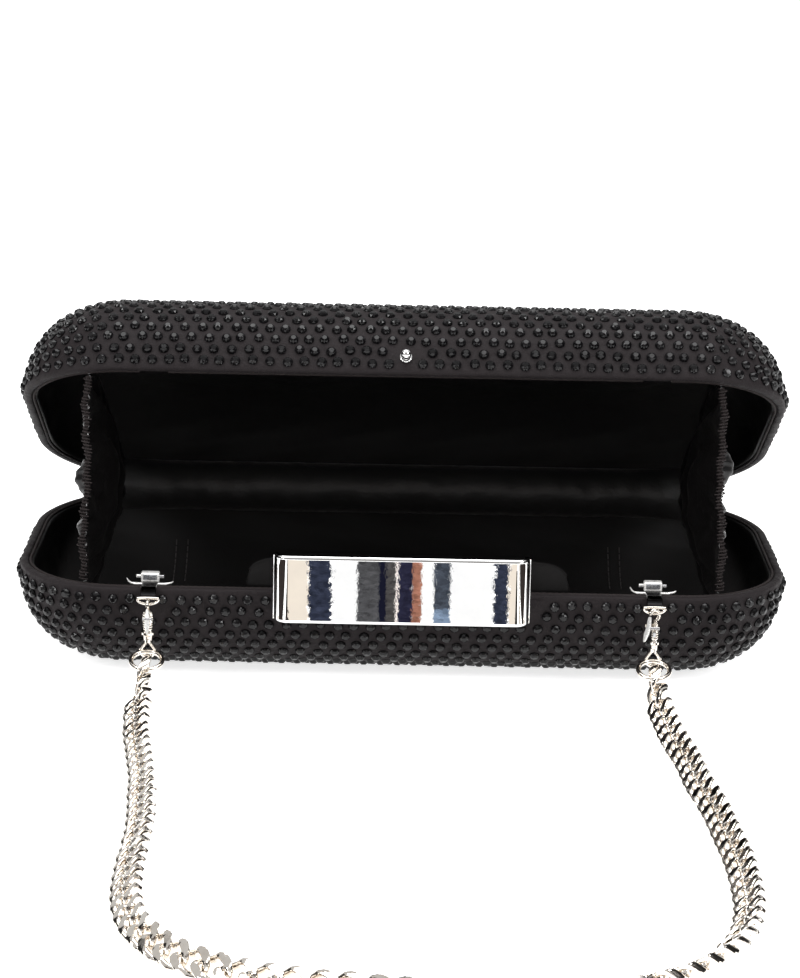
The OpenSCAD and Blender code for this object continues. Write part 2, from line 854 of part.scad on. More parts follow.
// Point on the smooth curve through the route, t counted in route points
function route_point(t) =
    let (i = min(floor(t), route_last - 1),
         u = t - i,
         a = chain_route[max(i - 1, 0)],
         b = chain_route[i],
         c = chain_route[i + 1],
         d = chain_route[min(i + 2, route_last)])
    b + u * (c - a) / 2 + u * u * (a - 2.5 * b + 2 * c - d / 2)
        + u * u * u * (-a / 2 + 1.5 * b - 1.5 * c + d / 2);

// Where the curve is one pitch from a point, found by halving the stretch between low and high
function joint_after(pitch, from, low, high, halvings = 24) =
    let (mid = (low + high) / 2)
    halvings == 0 ? mid
        : norm(route_point(mid) - from) < pitch ? joint_after(pitch, from, mid, high, halvings - 1)
        : joint_after(pitch, from, low, mid, halvings - 1);

// Places along the curve where one link hangs in the next
function joints_from(t, pitch, links) =
    links == 0 ? [t]
        : concat([t], joints_from(joint_after(pitch, route_point(t), t, t + 1), pitch, links - 1));

function total(list, k = 0) = k == len(list) ? 0 : list[k] + total(list, k + 1);

route_step = 0.1;
route_len = total([for (t = [0:route_step:route_last - route_step / 2])
    norm(route_point(t + route_step) - route_point(t))]);
link_count = round(route_len / (link_len - 2 * link_wire - link_slack));

// The pitch is eased by a hair so that the last link ends at the right ring
rough_pitch = route_len / link_count;
rough_end = joints_from(0, rough_pitch, link_count)[link_count];
pitch = rough_pitch - norm(route_point(rough_end) - chain_route[route_last]) / link_count;
joint_ts = joints_from(0, pitch, link_count);
strand_links = 17;

// Links over which the chain turns, so that the link in each jump ring stands upright
turning_links = 3;
function lean(k) = k % 2 == 0 ? 45 : -45;
function turning(k) = max(0, 1 - k / turning_links);
// Turn of a link about its own length, about a quarter turn from one link to the next
function link_roll(k) =
    let (last = link_count - 1)
    lean(k) + turning(k) * lean(0) + turning(last - k) * lean(last);

module link() {
    run = link_len - link_w;
    r = (link_w - link_wire) / 2;
    for (side = [0, 1])
        rotate([0, 0, side * 180]) {
            translate([run / 2, 0, 0]) rotate([0, 0, -90])
                rotate_extrude(angle = 180) translate([r, 0]) circle(d = link_wire, $fn = 24);
            translate([-run / 2, r, 0]) rotate([0, 90, 0]) cylinder(d = link_wire, h = run, $fn = 24);
        }
}

// Links from one joint of the chain to another, each turned a quarter turn from the last
module chain_links(first, last) {
    color(metal) for (k = [first:last]) {
        a = route_point(joint_ts[k]);
        b = route_point(joint_ts[k + 1]);
        d = b - a;
        translate((a + b) / 2)
            rotate([0, -asin(d[2] / norm(d)), atan2(d[1], d[0])])
                rotate([link_roll(k), 0, 0]) link();
    }
}

module left_chain() {
    chain_links(0, strand_links - 1);
}

module right_chain() {
    chain_links(link_count - strand_links, link_count - 1);
}

module end_chain() {
    chain_links(strand_links, link_count - strand_links - 1);
}

// ---- Gussets and pocket ----

gusset_x = half_w - gusset_in;
gusset_gap = 0.4;

// Slice of the inside of one half where a gusset crosses it
module gusset_slice(x) {
    intersection() {
        pan(lining_inner + gusset_gap, 0);
        translate([x - gusset_t / 2, -case_h, -half_d]) cube([gusset_t, 2 * case_h, half_d]);
    }
}

elastic_d = 2;
// Where the fan of a gusset starts and ends along the rim
gusset_mouth = -half_h + lining_inner + gusset_gap + elastic_d + seat_gap;
gusset_heel = half_h - hinge_r + sqrt(pow(hinge_r - lining_inner - gusset_gap, 2)
    - pow(gusset_x + gusset_t / 2 - hinge_run / 2, 2));

// A point of the back rim, as y and z above the front rim, lifted off it by a gap
function back_rim(y, gap) =
    let (arm = half_h - y, lift = rim_lift - gap)
    [half_h - arm * cos(open_angle) + lift * sin(open_angle),
     rim_lift + arm * sin(open_angle) + lift * cos(open_angle)];

module gusset(side) {
    x = side * gusset_x;
    color(lining_black) {
        in_front() gusset_slice(x);
        in_back() gusset_slice(x);
        in_front() translate([x - gusset_t / 2, 0, 0]) rotate([90, 0, 90]) linear_extrude(gusset_t)
            polygon([
                [gusset_mouth, 0],
                [gusset_heel, 0],
                back_rim(gusset_heel, 0),
                back_rim(gusset_mouth, 0),
            ]);
    }
}

// Elastic along the free edge of a gusset, from rim to rim
module gusset_elastic(side) {
    y = gusset_mouth - elastic_d / 2 - seat_gap;
    low = [y, 0.5];
    high = back_rim(y, 0.5);
    lean = atan2(high[0] - low[0], high[1] - low[1]);
    color(black) in_front() translate([side * gusset_x, low[0], low[1]])
        rotate([-lean, 0, 0]) cylinder(d = elastic_d, h = norm(high - low));
}

// Slip pocket, a panel that leans on the mouth wall and runs on along the floor
pocket_t = 0.5;
// Its mouth: below the rim, and in from the outline
pocket_drop = 2;
pocket_in = 6.5;
// Depth and lean of its upper part, then how far its bend and its foot lie in from its mouth
pocket_wall = 12;
pocket_lean = 3;
pocket_bend = 9.5;
pocket_foot = 17.3;
pocket_foot_ease = 0.2;
pocket_bend_rise = 1.5;
// Where it ends, in from the hinge edge
pocket_end = 34;
pocket_gap = 0.3;

module slip_pocket() {
    mouth_y = -half_h + pocket_in;
    wall_z = -pocket_drop - pocket_wall;
    floor_z = lining_inner - half_d + pocket_gap;
    color(lining_black) in_front() translate([-pocket_w / 2, 0, 0])
        rotate([90, 0, 90]) linear_extrude(pocket_w)
            polygon([
                [mouth_y, -pocket_drop],
                [mouth_y + pocket_t, -pocket_drop],
                [mouth_y + pocket_lean + pocket_t, wall_z],
                [mouth_y + pocket_bend + pocket_t, floor_z + pocket_bend_rise + pocket_t],
                [mouth_y + pocket_foot + pocket_foot_ease, floor_z + pocket_t],
                [half_h - pocket_end, floor_z + pocket_t],
                [half_h - pocket_end, floor_z],
                [mouth_y + pocket_foot, floor_z],
                [mouth_y + pocket_bend, floor_z + pocket_bend_rise],
                [mouth_y + pocket_lean, wall_z],
            ]);
}

module left_gusset() {
    gusset(-1);
}

module right_gusset() {
    gusset(1);
}

module left_gusset_elastic() {
    gusset_elastic(-1);
}

module right_gusset_elastic() {
    gusset_elastic(1);
}

module left_strap_bracket() {
    strap_bracket(-1);
}

module right_strap_bracket() {
    strap_bracket(1);
}

module left_bracket_rivet() {
    bracket_rivet(-1);
}

module right_bracket_rivet() {
    bracket_rivet(1);
}

module left_tab_pin() {
    tab_pin(-1);
}

module right_tab_pin() {
    tab_pin(1);
}

module left_strap_tab() {
    strap_tab(-1);
}

module right_strap_tab() {
    strap_tab(1);
}

module left_lobster_body() {
    lobster_body(-1);
}

module right_lobster_body() {
    lobster_body(1);
}

module left_lobster_trigger() {
    lobster_trigger(-1);
}

module right_lobster_trigger() {
    lobster_trigger(1);
}

module left_trigger_pin() {
    trigger_pin(-1);
}

module right_trigger_pin() {
    trigger_pin(1);
}

module left_trigger_spring() {
    trigger_spring(-1);
}

module right_trigger_spring() {
    trigger_spring(1);
}

module left_swivel_eye() {
    swivel_eye(-1);
}

module right_swivel_eye() {
    swivel_eye(1);
}

module left_jump_ring() {
    jump_ring(-1);
}

module right_jump_ring() {
    jump_ring(1);
}

front_satin_cover();
front_shell();
front_lining();
front_piping();
front_hinge_leaf();
front_hinge_rivets();
hinge_pin();
spine_lining();
slip_pocket();
back_satin_cover();
back_shell();
back_lining();
back_piping();
back_hinge_leaf();
back_hinge_rivets();
ball_stud();
stud_nut();
left_gusset();
right_gusset();
left_gusset_elastic();
right_gusset_elastic();
clasp_base();
clasp_base_rivets();
clasp_bar();
clasp_pin();
clasp_spring();
left_strap_bracket();
left_bracket_rivet();
left_tab_pin();
left_strap_tab();
left_lobster_body();
left_lobster_trigger();
left_trigger_pin();
left_trigger_spring();
left_swivel_eye();
left_jump_ring();
right_strap_bracket();
right_bracket_rivet();
right_tab_pin();
right_strap_tab();
right_lobster_body();
right_lobster_trigger();
right_trigger_pin();
right_trigger_spring();
right_swivel_eye();
right_jump_ring();
left_chain();
right_chain();
end_chain();
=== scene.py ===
import math
import bpy
import numpy as np
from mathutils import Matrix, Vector


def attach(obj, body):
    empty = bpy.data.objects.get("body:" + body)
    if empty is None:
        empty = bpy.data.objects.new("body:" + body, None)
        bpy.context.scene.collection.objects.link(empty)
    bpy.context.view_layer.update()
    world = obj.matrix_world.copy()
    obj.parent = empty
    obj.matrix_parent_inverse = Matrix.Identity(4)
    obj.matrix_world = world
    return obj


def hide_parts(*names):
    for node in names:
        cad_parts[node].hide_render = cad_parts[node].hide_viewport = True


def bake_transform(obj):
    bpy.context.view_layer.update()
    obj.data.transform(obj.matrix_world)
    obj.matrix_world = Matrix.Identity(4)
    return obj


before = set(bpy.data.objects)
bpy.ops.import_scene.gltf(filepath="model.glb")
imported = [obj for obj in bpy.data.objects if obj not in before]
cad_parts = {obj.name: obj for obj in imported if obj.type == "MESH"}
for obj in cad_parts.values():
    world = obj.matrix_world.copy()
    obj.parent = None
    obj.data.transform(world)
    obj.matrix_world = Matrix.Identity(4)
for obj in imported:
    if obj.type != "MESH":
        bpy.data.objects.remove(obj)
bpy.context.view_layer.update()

sin, cos, pi = np.sin, np.cos, np.pi
rng = np.random.default_rng(11)

# ---- Sizes of the case, in millimetres, as in the part's source ----
MM = 0.001
HALF_W, HALF_H, HALF_D = 99.0, 51.0, 26.0
MOUTH_R, HINGE_R = 28.0, 40.0                  # corners of the outline, at the mouth and at the hinge
MX, MY = HALF_W - MOUTH_R, MOUTH_R - HALF_H    # centre of the right corner at the mouth
HX, HY = HALF_W - HINGE_R, HALF_H - HINGE_R    # centre of the right corner at the hinge
OPEN = math.radians(31)
LIFT = 0.25                                    # the hinge axis above the front half's rim
AXIS_Y, AXIS_Z = HALF_H, HALF_D + LIFT
POWER, RUN = 2.3, 26.0                         # shape of the domed wall, and how far in it ends
STONE_H = 1.1
SATIN_D = HALF_D - STONE_H
LINING_IN, LINING_INNER = 2.3, 3.7
HINGE_X = 55.5                                 # half the length of the hinge
FITTING_X = 63.5
SIDES = (("left", -1), ("right", 1))


def front(p):
    """The front half's own frame (rim at z = 0, face at z = -26) to the row frame."""
    return np.asarray(p, float) + (0, 0, HALF_D)


def back(p):
    """The same for the back half: mirrored, then swung open about the hinge axis."""
    p = np.asarray(p, float) * (1, 1, -1) + (0, -HALF_H, LIFT)
    y, z = p[..., 1], p[..., 2]
    q = np.stack([p[..., 0], y * cos(OPEN) + z * sin(OPEN), -y * sin(OPEN) + z * cos(OPEN)], -1)
    return q + (0, AXIS_Y, AXIS_Z)


HALVES = (("front", front), ("back", back))


# ---- Meshes ----
def mesh(name, verts, faces, mat, smooth=True):
    me = bpy.data.meshes.new(name)
    verts = np.asarray(verts, float).reshape(-1, 3) * MM
    me.from_pydata(verts.tolist(), [], [list(map(int, f)) for f in faces])
    me.update()
    if smooth:
        me.shade_smooth()
    me.materials.append(mat)
    ob = bpy.data.objects.new(name, me)
    bpy.context.scene.collection.objects.link(ob)
    return ob


def quads(nu, nv, loop_u=False, loop_v=False, base=0, flip=False):
    """Faces of a grid of nu rings with nv points each, closed along either way if asked."""
    u = np.arange(nu if loop_u else nu - 1)
    v = np.arange(nv if loop_v else nv - 1)
    U, V = np.meshgrid(u, v, indexing="ij")
    U1, V1 = (U + 1) % nu, (V + 1) % nv
    f = np.stack([U * nv + V, U1 * nv + V, U1 * nv + V1, U * nv + V1], -1).reshape(-1, 4) + base
    return f[:, ::-1] if flip else f


def grid(name, points, mat, loop_u=False, flip=False):
    points = np.asarray(points, float)
    return mesh(name, points, quads(*points.shape[:2], loop_u, False, 0, flip), mat)


def unit(v):
    return v / np.linalg.norm(v, axis=-1, keepdims=True)


def normals(line, closed=False):
    """Two unit normals at each point of a line."""
    t = unit(np.roll(line, -1, 0) - np.roll(line, 1, 0) if closed else np.gradient(line, axis=0))
    a = np.cross(np.tile((0.0, 0, 1), (len(t), 1)), t)
    a[np.linalg.norm(a, axis=1) < 1e-3] = (1, 0, 0)
    a = unit(a)
    return a, np.cross(t, a)


def tube(line, r, sides=8, closed=False, across=None):
    """Rings of a tube along a line; r may vary along it."""
    line = np.asarray(line, float)
    n, m = (x[:, None] for x in (normals(line, closed) if across is None else across))
    ang = (np.arange(sides) * 2 * pi / sides)[None, :, None]
    r = np.broadcast_to(np.asarray(r, float), (len(line),))[:, None, None]
    return line[:, None] + r * (n * cos(ang) + m * sin(ang))


def length_along(points):
    """Distance from the first point to each point of a line, given as columns."""
    return np.concatenate([[0], np.cumsum(np.hypot(*np.diff(points, axis=0).T))])


def along(table, at):
    """Values of a table of (place, value) rows at the places given."""
    places, values = zip(*table)
    return np.interp(at, places, values)


def ease(v, a, b):
    """0 up to a, 1 from b on, and smooth between them."""
    t = np.clip((np.asarray(v, float) - a) / (b - a), 0, 1)
    return t * t * (3 - 2 * t)


# ---- Outline of the case, from the middle of the mouth round to it again ----
SEGS = [
    ("line", (0, -HALF_H), (MX, -HALF_H)), ("arc", (MX, MY), MOUTH_R, -90, 0),
    ("line", (HALF_W, MY), (HALF_W, HY)), ("arc", (HX, HY), HINGE_R, 0, 90),
    ("line", (HX, HALF_H), (-HX, HALF_H)), ("arc", (-HX, HY), HINGE_R, 90, 180),
    ("line", (-HALF_W, HY), (-HALF_W, MY)), ("arc", (-MX, MY), MOUTH_R, 180, 270),
    ("line", (-MX, -HALF_H), (0, -HALF_H)),
]
NORMALS = {0: (0, -1), 2: (1, 0), 4: (0, 1), 6: (-1, 0), 8: (0, -1)}


def seg_len(k, inset):
    s = SEGS[k]
    if s[0] == "line":
        return math.dist(s[1], s[2])
    return math.radians(s[4] - s[3]) * (s[2] - inset)


def seg_at(k, f, inset):
    """Point and outward normal at share f of segment k, drawn in by inset."""
    s = SEGS[k]
    if s[0] == "line":
        n = np.array(NORMALS[k], float)
        return np.array(s[1], float) * (1 - f) + np.array(s[2], float) * f - inset * n, n
    a = math.radians(s[3] + (s[4] - s[3]) * f)
    n = np.array([math.cos(a), math.sin(a)])
    return np.array(s[1], float) + (s[2] - inset) * n, n


def ring_params(step):
    """Even steps round the outline, as (segment, share of it)."""
    out = []
    for k in range(len(SEGS)):
        n = max(1, round(seg_len(k, 0) / step))
        out += [(k, i / n) for i in range(n)]
    return out


def ring_by_pitch(inset, pitch, phase):
    """Places at one pitch round the drawn-in outline, as (segment, share of it)."""
    lens = [seg_len(k, inset) for k in range(len(SEGS))]
    total = sum(lens)
    n = round(total / pitch)
    out = []
    for i in range(n):
        d = ((i + phase) * total / n) % total
        k = 0
        while d > lens[k]:
            d -= lens[k]
            k += 1
        out.append((k, d / lens[k]))
    return out


def rim_ring(params, inset):
    pn = [seg_at(k, f, inset) for k, f in params]
    return np.array([p for p, _ in pn]), np.array([n for _, n in pn])


def profile(inset, depth, steps):
    """Insets and heights of the domed wall, rim to face."""
    a = np.radians(np.linspace(0, 90, steps))
    c = np.clip(cos(a), 0, 1)
    return inset + (RUN - inset) * (1 - c ** (2 / POWER)), -depth * sin(a) ** (2 / POWER)


def inside_by(x, y):
    """How far a point lies inside the outline."""
    x = abs(x)
    if y < MY and x > MX:
        return MOUTH_R - math.hypot(x - MX, y - MY)
    if y > HY and x > HX:
        return HINGE_R - math.hypot(x - HX, y - HY)
    return min(HALF_W - x, y + HALF_H, HALF_H - y)


def hinge_side(x, inset):
    """y of the hinge side's wall at each x."""
    x, r = np.abs(x), HINGE_R - inset
    curve = np.sqrt(np.maximum(r * r - np.clip(x - HX, 0, None) ** 2, 1))
    return np.where(x < HX, HALF_H - inset, HY + curve)


def hinge_gap(x, y):
    """1 along the stretch of the hinge side that the barrel takes, easing to 0 at its ends."""
    return (1 - ease(abs(x), HINGE_X, HINGE_X + 1.6)) * (y > 30)


def hinge_dip(p, z, depth, slope):
    """How far the ring p at height z is pressed down to clear the hinge barrel."""
    return hinge_gap(p[:, 0], p[:, 1]) * max(0.0, depth + min(z, 0) * slope)


def middle(loop):
    """The line along the middle of the face that the wall's last ring closes on."""
    return np.column_stack([np.clip(loop[:, 0], -50, 50), np.zeros(len(loop)), loop[:, 2]])


# ---- Materials ----
INPUTS = {
    "base": "Base Color", "rough": "Roughness", "metal": "Metallic", "ior": "IOR",
    "spec": "Specular IOR Level",
    "sheen": "Sheen Weight", "sheen_rough": "Sheen Roughness", "sheen_tint": "Sheen Tint",
    "coat": "Coat Weight", "coat_rough": "Coat Roughness",
    "glow": "Emission Color", "glow_level": "Emission Strength",
}


class Nodes:
    """The node tree of a material or of the world, round its main shader."""

    def __init__(self, owner, shader="Principled BSDF"):
        owner.use_nodes = True
        self.owner, self.t = owner, owner.node_tree
        self.b = self.t.nodes[shader]

    def new(self, kind, **values):
        n = self.t.nodes.new("ShaderNode" + kind)
        for k, v in values.items():
            if k in n.inputs:
                n.inputs[k].default_value = v
            else:
                setattr(n, k, v)
        return n

    def link(self, a, b):
        """From a socket to another, or to an input of the main shader by its short name."""
        self.t.links.new(a, self.b.inputs[INPUTS[b]] if isinstance(b, str) else b)

    def set(self, **values):
        for k, v in values.items():
            self.b.inputs[INPUTS[k]].default_value = v
        return self

    def noise(self, scale, detail, stretch=(1, 1, 1)):
        where, m = self.new("TexCoord"), self.new("Mapping", Scale=stretch)
        self.link(where.outputs["Object"], m.inputs["Vector"])
        n = self.new("TexNoise", Scale=scale, Detail=detail, Roughness=0.55)
        self.link(m.outputs["Vector"], n.inputs["Vector"])
        return n.outputs["Fac"]

    def ramp(self, fac, low, high, a=0.3, b=0.7):
        r = self.new("ValToRGB")
        for e, place, colour in zip(r.color_ramp.elements, (a, b), (low, high)):
            e.position, e.color = place, (*colour, 1)
        self.link(fac, r.inputs["Fac"])
        return r.outputs["Color"]

    def span(self, fac, low, high, a=0.25, b=0.75):
        m = self.new("MapRange", **{"From Min": a, "From Max": b, "To Min": low, "To Max": high})
        self.link(fac, m.inputs["Value"])
        return m.outputs["Result"]

    def math(self, how, a, b):
        """Two sockets, or a socket and a number, put through one Math node."""
        m = self.new("Math", operation=how)
        self.link(a, m.inputs[0])
        if isinstance(b, float):
            m.inputs[1].default_value = b
        else:
            self.link(b, m.inputs[1])
        return m.outputs[0]

    def bump(self, height, distance):
        b = self.new("Bump", Strength=1.0, Distance=distance)
        self.link(height, b.inputs["Height"])
        self.link(b.outputs["Normal"], self.b.inputs["Normal"])


def material(name):
    return Nodes(bpy.data.materials.new(name))


def satin(name, dark, light, rough, grain, folds, sheen, gloss):
    """Woven satin: a fine warp-faced grain, soft cloudy wear and a low sheen."""
    n = material(name).set(spec=gloss, sheen=sheen, sheen_rough=0.35, sheen_tint=(0.9, 0.85, 0.84, 1))
    wear = n.math("ADD", n.noise(60, 4), n.noise(2400, 3))
    n.link(n.ramp(wear, dark, light, 0.4, 0.6), "base")
    warp = n.noise(1, 2, (5200, 700, 3000))
    n.link(n.span(warp, rough - 0.05, rough + 0.06), "rough")
    n.bump(n.math("ADD", warp, n.math("MULTIPLY", n.noise(folds, 3), 6.0)), grain)
    return n.owner


COVER = satin("satin_cover", (0.0076, 0.0060, 0.0063), (0.0170, 0.0137, 0.0146),
              rough=0.60, grain=0.00011, folds=240, sheen=0.05, gloss=0.12)
LINING = satin("satin_lining", (0.0115, 0.0110, 0.0110), (0.0165, 0.0157, 0.0157),
               rough=0.42, grain=0.00006, folds=90, sheen=0.01, gloss=0.10)
# The lining's black satin painted about four times darker: painted shade, for the gussets deep between the
# halves and for the clasp mount behind the bar.
SHADED_SATIN = satin("satin_painted_shade", (0.0026, 0.0023, 0.0024), (0.0044, 0.0039, 0.0040),
            rough=0.38, grain=0.00005, folds=140, sheen=0.02, gloss=0.17)
# The lining's satin where it rolls over the hinge, painted a little lighter than LINING: painted highlight
# for the soft band along the roll, which its higher gloss and sheen also catch from the lamps.
SPINE = satin("satin_spine", (0.0125, 0.0117, 0.0118), (0.0190, 0.0178, 0.0180),
              rough=0.40, grain=0.00005, folds=300, sheen=0.30, gloss=1.0)
THREAD = satin("thread", (0.030, 0.027, 0.027), (0.060, 0.055, 0.055),
               rough=0.6, grain=0.00002, folds=900, sheen=0.1, gloss=0.2)
ELASTIC = satin("elastic_edge", (0.005, 0.004, 0.004), (0.026, 0.021, 0.021),
                rough=0.7, grain=0.00005, folds=900, sheen=0.03, gloss=0.10)


def crystal():
    """Black cut glass."""
    n = material("crystal_black").set(spec=0.22, ior=1.5, coat=0.16, coat_rough=0.02)
    n.link(n.ramp(n.noise(90, 2), (0.0025, 0.0024, 0.0028), (0.007, 0.0065, 0.0072)), "base")
    n.link(n.span(n.noise(700, 2), 0.08, 0.2), "rough")
    n.bump(n.noise(2500, 2), 0.00001)
    return n.owner


def metal(name, low, high, r0, r1, scuff, share=1.0):
    """Plated metal with a cloudy tone, fine scuffs and slight dents; share is how metallic it is."""
    n = material(name).set(metal=share)
    n.link(n.ramp(n.noise(140, 4), low, high), "base")
    n.link(n.span(n.noise(scuff, 5), r0, r1), "rough")
    n.bump(n.noise(900, 3), 0.000004)
    return n.owner


CRYSTAL = crystal()
CHROME = metal("chrome_mirror", (0.88, 0.88, 0.88), (0.94, 0.94, 0.93), 0.002, 0.014, 260)
SILVER = metal("chain_silver", (0.74, 0.675, 0.60), (0.93, 0.885, 0.82), 0.05, 0.14, 500)
DARK = metal("chrome_dark", (0.16, 0.16, 0.17), (0.30, 0.30, 0.31), 0.10, 0.22, 600)
FRAME = metal("fitting_frame", (0.86, 0.85, 0.83), (0.96, 0.95, 0.93), 0.22, 0.34, 500, 0.45)
PANEL = metal("fitting_panel", (0.20, 0.21, 0.23), (0.42, 0.43, 0.45), 0.22, 0.34, 900)
BLACKED = metal("tab_black", (0.012, 0.012, 0.013), (0.035, 0.034, 0.036), 0.08, 0.2, 600)
STEEL = metal("steel_plain", (0.40, 0.40, 0.41), (0.55, 0.55, 0.56), 0.18, 0.32, 400)

# ---- Camera ----
cam = bpy.data.objects.new("camera", bpy.data.cameras.new("camera"))
cam.location = (-0.003651, -0.762839, 0.239423)
cam.rotation_euler = [math.radians(a) for a in (75.3197, -1.1062, 0.0701)]
cam.data.lens, cam.data.sensor_width, cam.data.sensor_fit = 108.9435, 36, "AUTO"
cam.data.clip_start, cam.data.clip_end = 0.01, 20
bpy.context.scene.collection.objects.link(cam)
bpy.context.scene.camera = cam

# ---- Chain: filed curb links along the strap's route ----
LIE_Z = 2.9                               # the links' centres, where the strap lies on the table
FIRST_Y, FIRST_Z = -59.568, 9.001         # where the first and the last link hang in their rings
DROP_Y, DROP_Z = FIRST_Y - 8, FIRST_Z - 4.8
LYING = [
    (-63, -92), (-61, -107), (-59, -122), (-58, -137), (-57, -152), (-57, -167), (-57, -182), (-56, -197),
    (-52, -212), (-43, -225), (-29, -234), (-11, -238), (8, -239), (27, -238), (45, -234), (59, -225),
    (68, -212), (72, -197), (73, -182), (73, -167), (72, -152), (71, -137), (69, -122), (68, -107), (66, -92),
]
ROUTE = np.array(
    [(-FITTING_X, FIRST_Y, FIRST_Z), (-64, DROP_Y, DROP_Z), (-64, -79, LIE_Z + 0.5)]
    + [(x, y, LIE_Z) for x, y in LYING]
    + [(65, -80, LIE_Z + 0.5), (64, DROP_Y, DROP_Z), (FITTING_X, FIRST_Y, FIRST_Z)])
PITCH, LINKS = 5.35742, 84
WIRE, LINK_W, FILED = 1.85, 7.6, 1.36     # wire, width before filing, half the thickness after it
TWIST, ROLL, SLACK = 46, 36, 4            # degrees: of a link's ends, of the lying links, at random
UPRIGHT = 3                               # links that ease from upright in the ring to lying
TURN_OVER = (30, 54)                      # links over which the strap turns over, round its bend


def route_point(t):
    """Point of the smooth curve through ROUTE at parameter t."""
    i = min(int(t), len(ROUTE) - 2)
    u = t - i
    a, b, c, d = ROUTE[max(i - 1, 0)], ROUTE[i], ROUTE[i + 1], ROUTE[min(i + 2, len(ROUTE) - 1)]
    bend = u * u * (a - 2.5 * b + 2 * c - d / 2) + u ** 3 * (-a / 2 + 1.5 * b - 1.5 * c + d / 2)
    return b + u * (c - a) / 2 + bend


def route_joints():
    """Points one pitch apart along the route."""
    ts = [0.0]
    for _ in range(LINKS):
        low, high, here = ts[-1], ts[-1] + 1, route_point(ts[-1])
        for _ in range(24):
            mid = (low + high) / 2
            if np.linalg.norm(route_point(mid) - here) < PITCH:
                low = mid
            else:
                high = mid
        ts.append((low + high) / 2)
    return np.array([route_point(t) for t in ts])


def link_mesh(nu=36, nv=12):
    """One curb link along x: an oval of wire whose ends are twisted apart, with its faces filed flat."""
    def squared(v, power):
        return np.sign(v) * np.abs(v) ** power

    phi = (np.arange(nu) + 0.5) * 2 * pi / nu
    twist = math.radians(TWIST) * squared(cos(phi), 0.7)
    x = ((PITCH + WIRE) / 2 + 0.2) * squared(cos(phi), 0.9)
    w = (LINK_W - WIRE) / 2 * squared(sin(phi), 0.9)
    line = np.stack([x, w * cos(twist), w * sin(twist)], 1)
    t = unit(np.roll(line, -1, 0) - np.roll(line, 1, 0))
    out = line * (0.35, 1, 1)
    out = unit(out - (out * t).sum(1)[:, None] * t)
    P = tube(line, WIRE / 2, nv, True, (out, np.cross(t, out)))
    P[..., 2] = np.clip(P[..., 2], -FILED, FILED)
    P[..., 1] = np.clip(P[..., 1], 0.3 - LINK_W / 2, LINK_W / 2 - 0.3)
    return P


def build_chain():
    joints = route_joints()
    one = link_mesh()
    nu, nv = one.shape[:2]
    P = one.reshape(-1, 3)
    verts, faces = [], []
    for k in range(LINKS):
        a, b = joints[k], joints[k + 1]
        t = unit(b - a)
        side = unit(np.cross((0, 0, 1), t))
        up = np.cross(t, side)
        start, end = max(0.0, 1 - k / UPRIGHT), max(0.0, 1 - (LINKS - 1 - k) / UPRIGHT)
        lay = ROLL * (1 - 2 * float(ease(k, *TURN_OVER)))
        roll = math.radians(lay + (90 - ROLL) * (start - end) + rng.uniform(-SLACK, SLACK))
        s, u = side * cos(roll) + up * sin(roll), -side * sin(roll) + up * cos(roll)
        verts.append((a + b) / 2 + P[:, :1] * t + P[:, 1:2] * s + P[:, 2:] * u)
        faces.append(quads(nu, nv, True, True, k * nu * nv))
    verts = np.vstack(verts)
    verts[:, 2] = np.maximum(verts[:, 2], 0.06)
    ob = mesh("strap_chain", verts, np.vstack(faces), SILVER)
    ob.data.set_sharp_from_angle(angle=math.radians(32))
    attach(ob, "front")
    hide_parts("left_chain", "right_chain", "end_chain")


build_chain()

# ---- Satin covers ----
STEP = 1.6                                # points round the rim
COVER_EDGE = [                            # inset and height of the turned-in rim, inside to outside
    (2.25, -0.75), (2.1, -0.25), (1.75, -0.04), (1.2, 0.02), (0.65, -0.05), (0.22, -0.3), (0.03, -0.75),
]


def cover(name, place):
    """Satin drawn over one half: the turned-in rim, the domed wall and the face."""
    params = ring_params(STEP)
    wall = [(i + 0.6 * float(ease(-z, 1, 5)), z) for i, z in zip(*profile(0, SATIN_D, 26)) if z < -1.0]
    rings = []
    for i, z in COVER_EDGE + wall:
        p, _ = rim_ring(params, i)
        rings.append(np.column_stack([p, z - hinge_dip(p, z, 1.85, 0.9)]))
    loop, mid = rings[-1], middle(rings[-1])
    rings += [loop * (1 - f) + mid * f for f in (0.12, 0.3, 0.5, 0.75, 1.0)]
    return grid(name, place(np.stack(rings, 1)), COVER, loop_u=True, flip=place is front)


# ---- Rhinestones ----
FACETS = 10
ACROSS, ROWS = 4.25, 3.42                 # pitch along a row, and from row to row
FIRST_ROW, LAST_INSET = 2.75, 23.5        # along the wall from the rim, and where its rows stop


def stone_shape():
    """A cut stone: girdle, crown and a flat top."""
    a = np.arange(FACETS) * 2 * pi / FACETS
    b = a + pi / FACETS
    rings = [(1.28, -0.5, a), (1.34, 0.22, a), (1.06, 0.72, b), (0.62, STONE_H, a)]
    v = np.vstack([np.column_stack([r * cos(t), r * sin(t), np.full(FACETS, h)]) for r, h, t in rings])
    f = []
    for ring in range(3):
        for k in range(FACETS):
            lo, lo1 = ring * FACETS + k, ring * FACETS + (k + 1) % FACETS
            hi, hi1 = lo + FACETS, lo1 + FACETS
            girdle = [[lo, lo1, hi1, hi]]
            crown = [[lo, lo1, hi], [lo1, hi1, hi]]
            bezel = [[lo, hi1, hi], [lo, lo1, hi1]]
            f += (girdle, crown, bezel)[ring]
    return v, f + [[3 * FACETS + k for k in range(FACETS)]]


def bare(place, x, y, z):
    """Where no stone is set: round the hinge, the clasp, the fittings and the ball."""
    if y > 30:
        return abs(x) < HINGE_X + 2 and z > -4.2
    if y >= -40:
        return False
    if place is back:
        return math.hypot(x, z + 4.5) < 3.3
    return (abs(x) < 34 and z > -9.2) or (abs(abs(x) - FITTING_X) < 3.4 and z > -8.5)


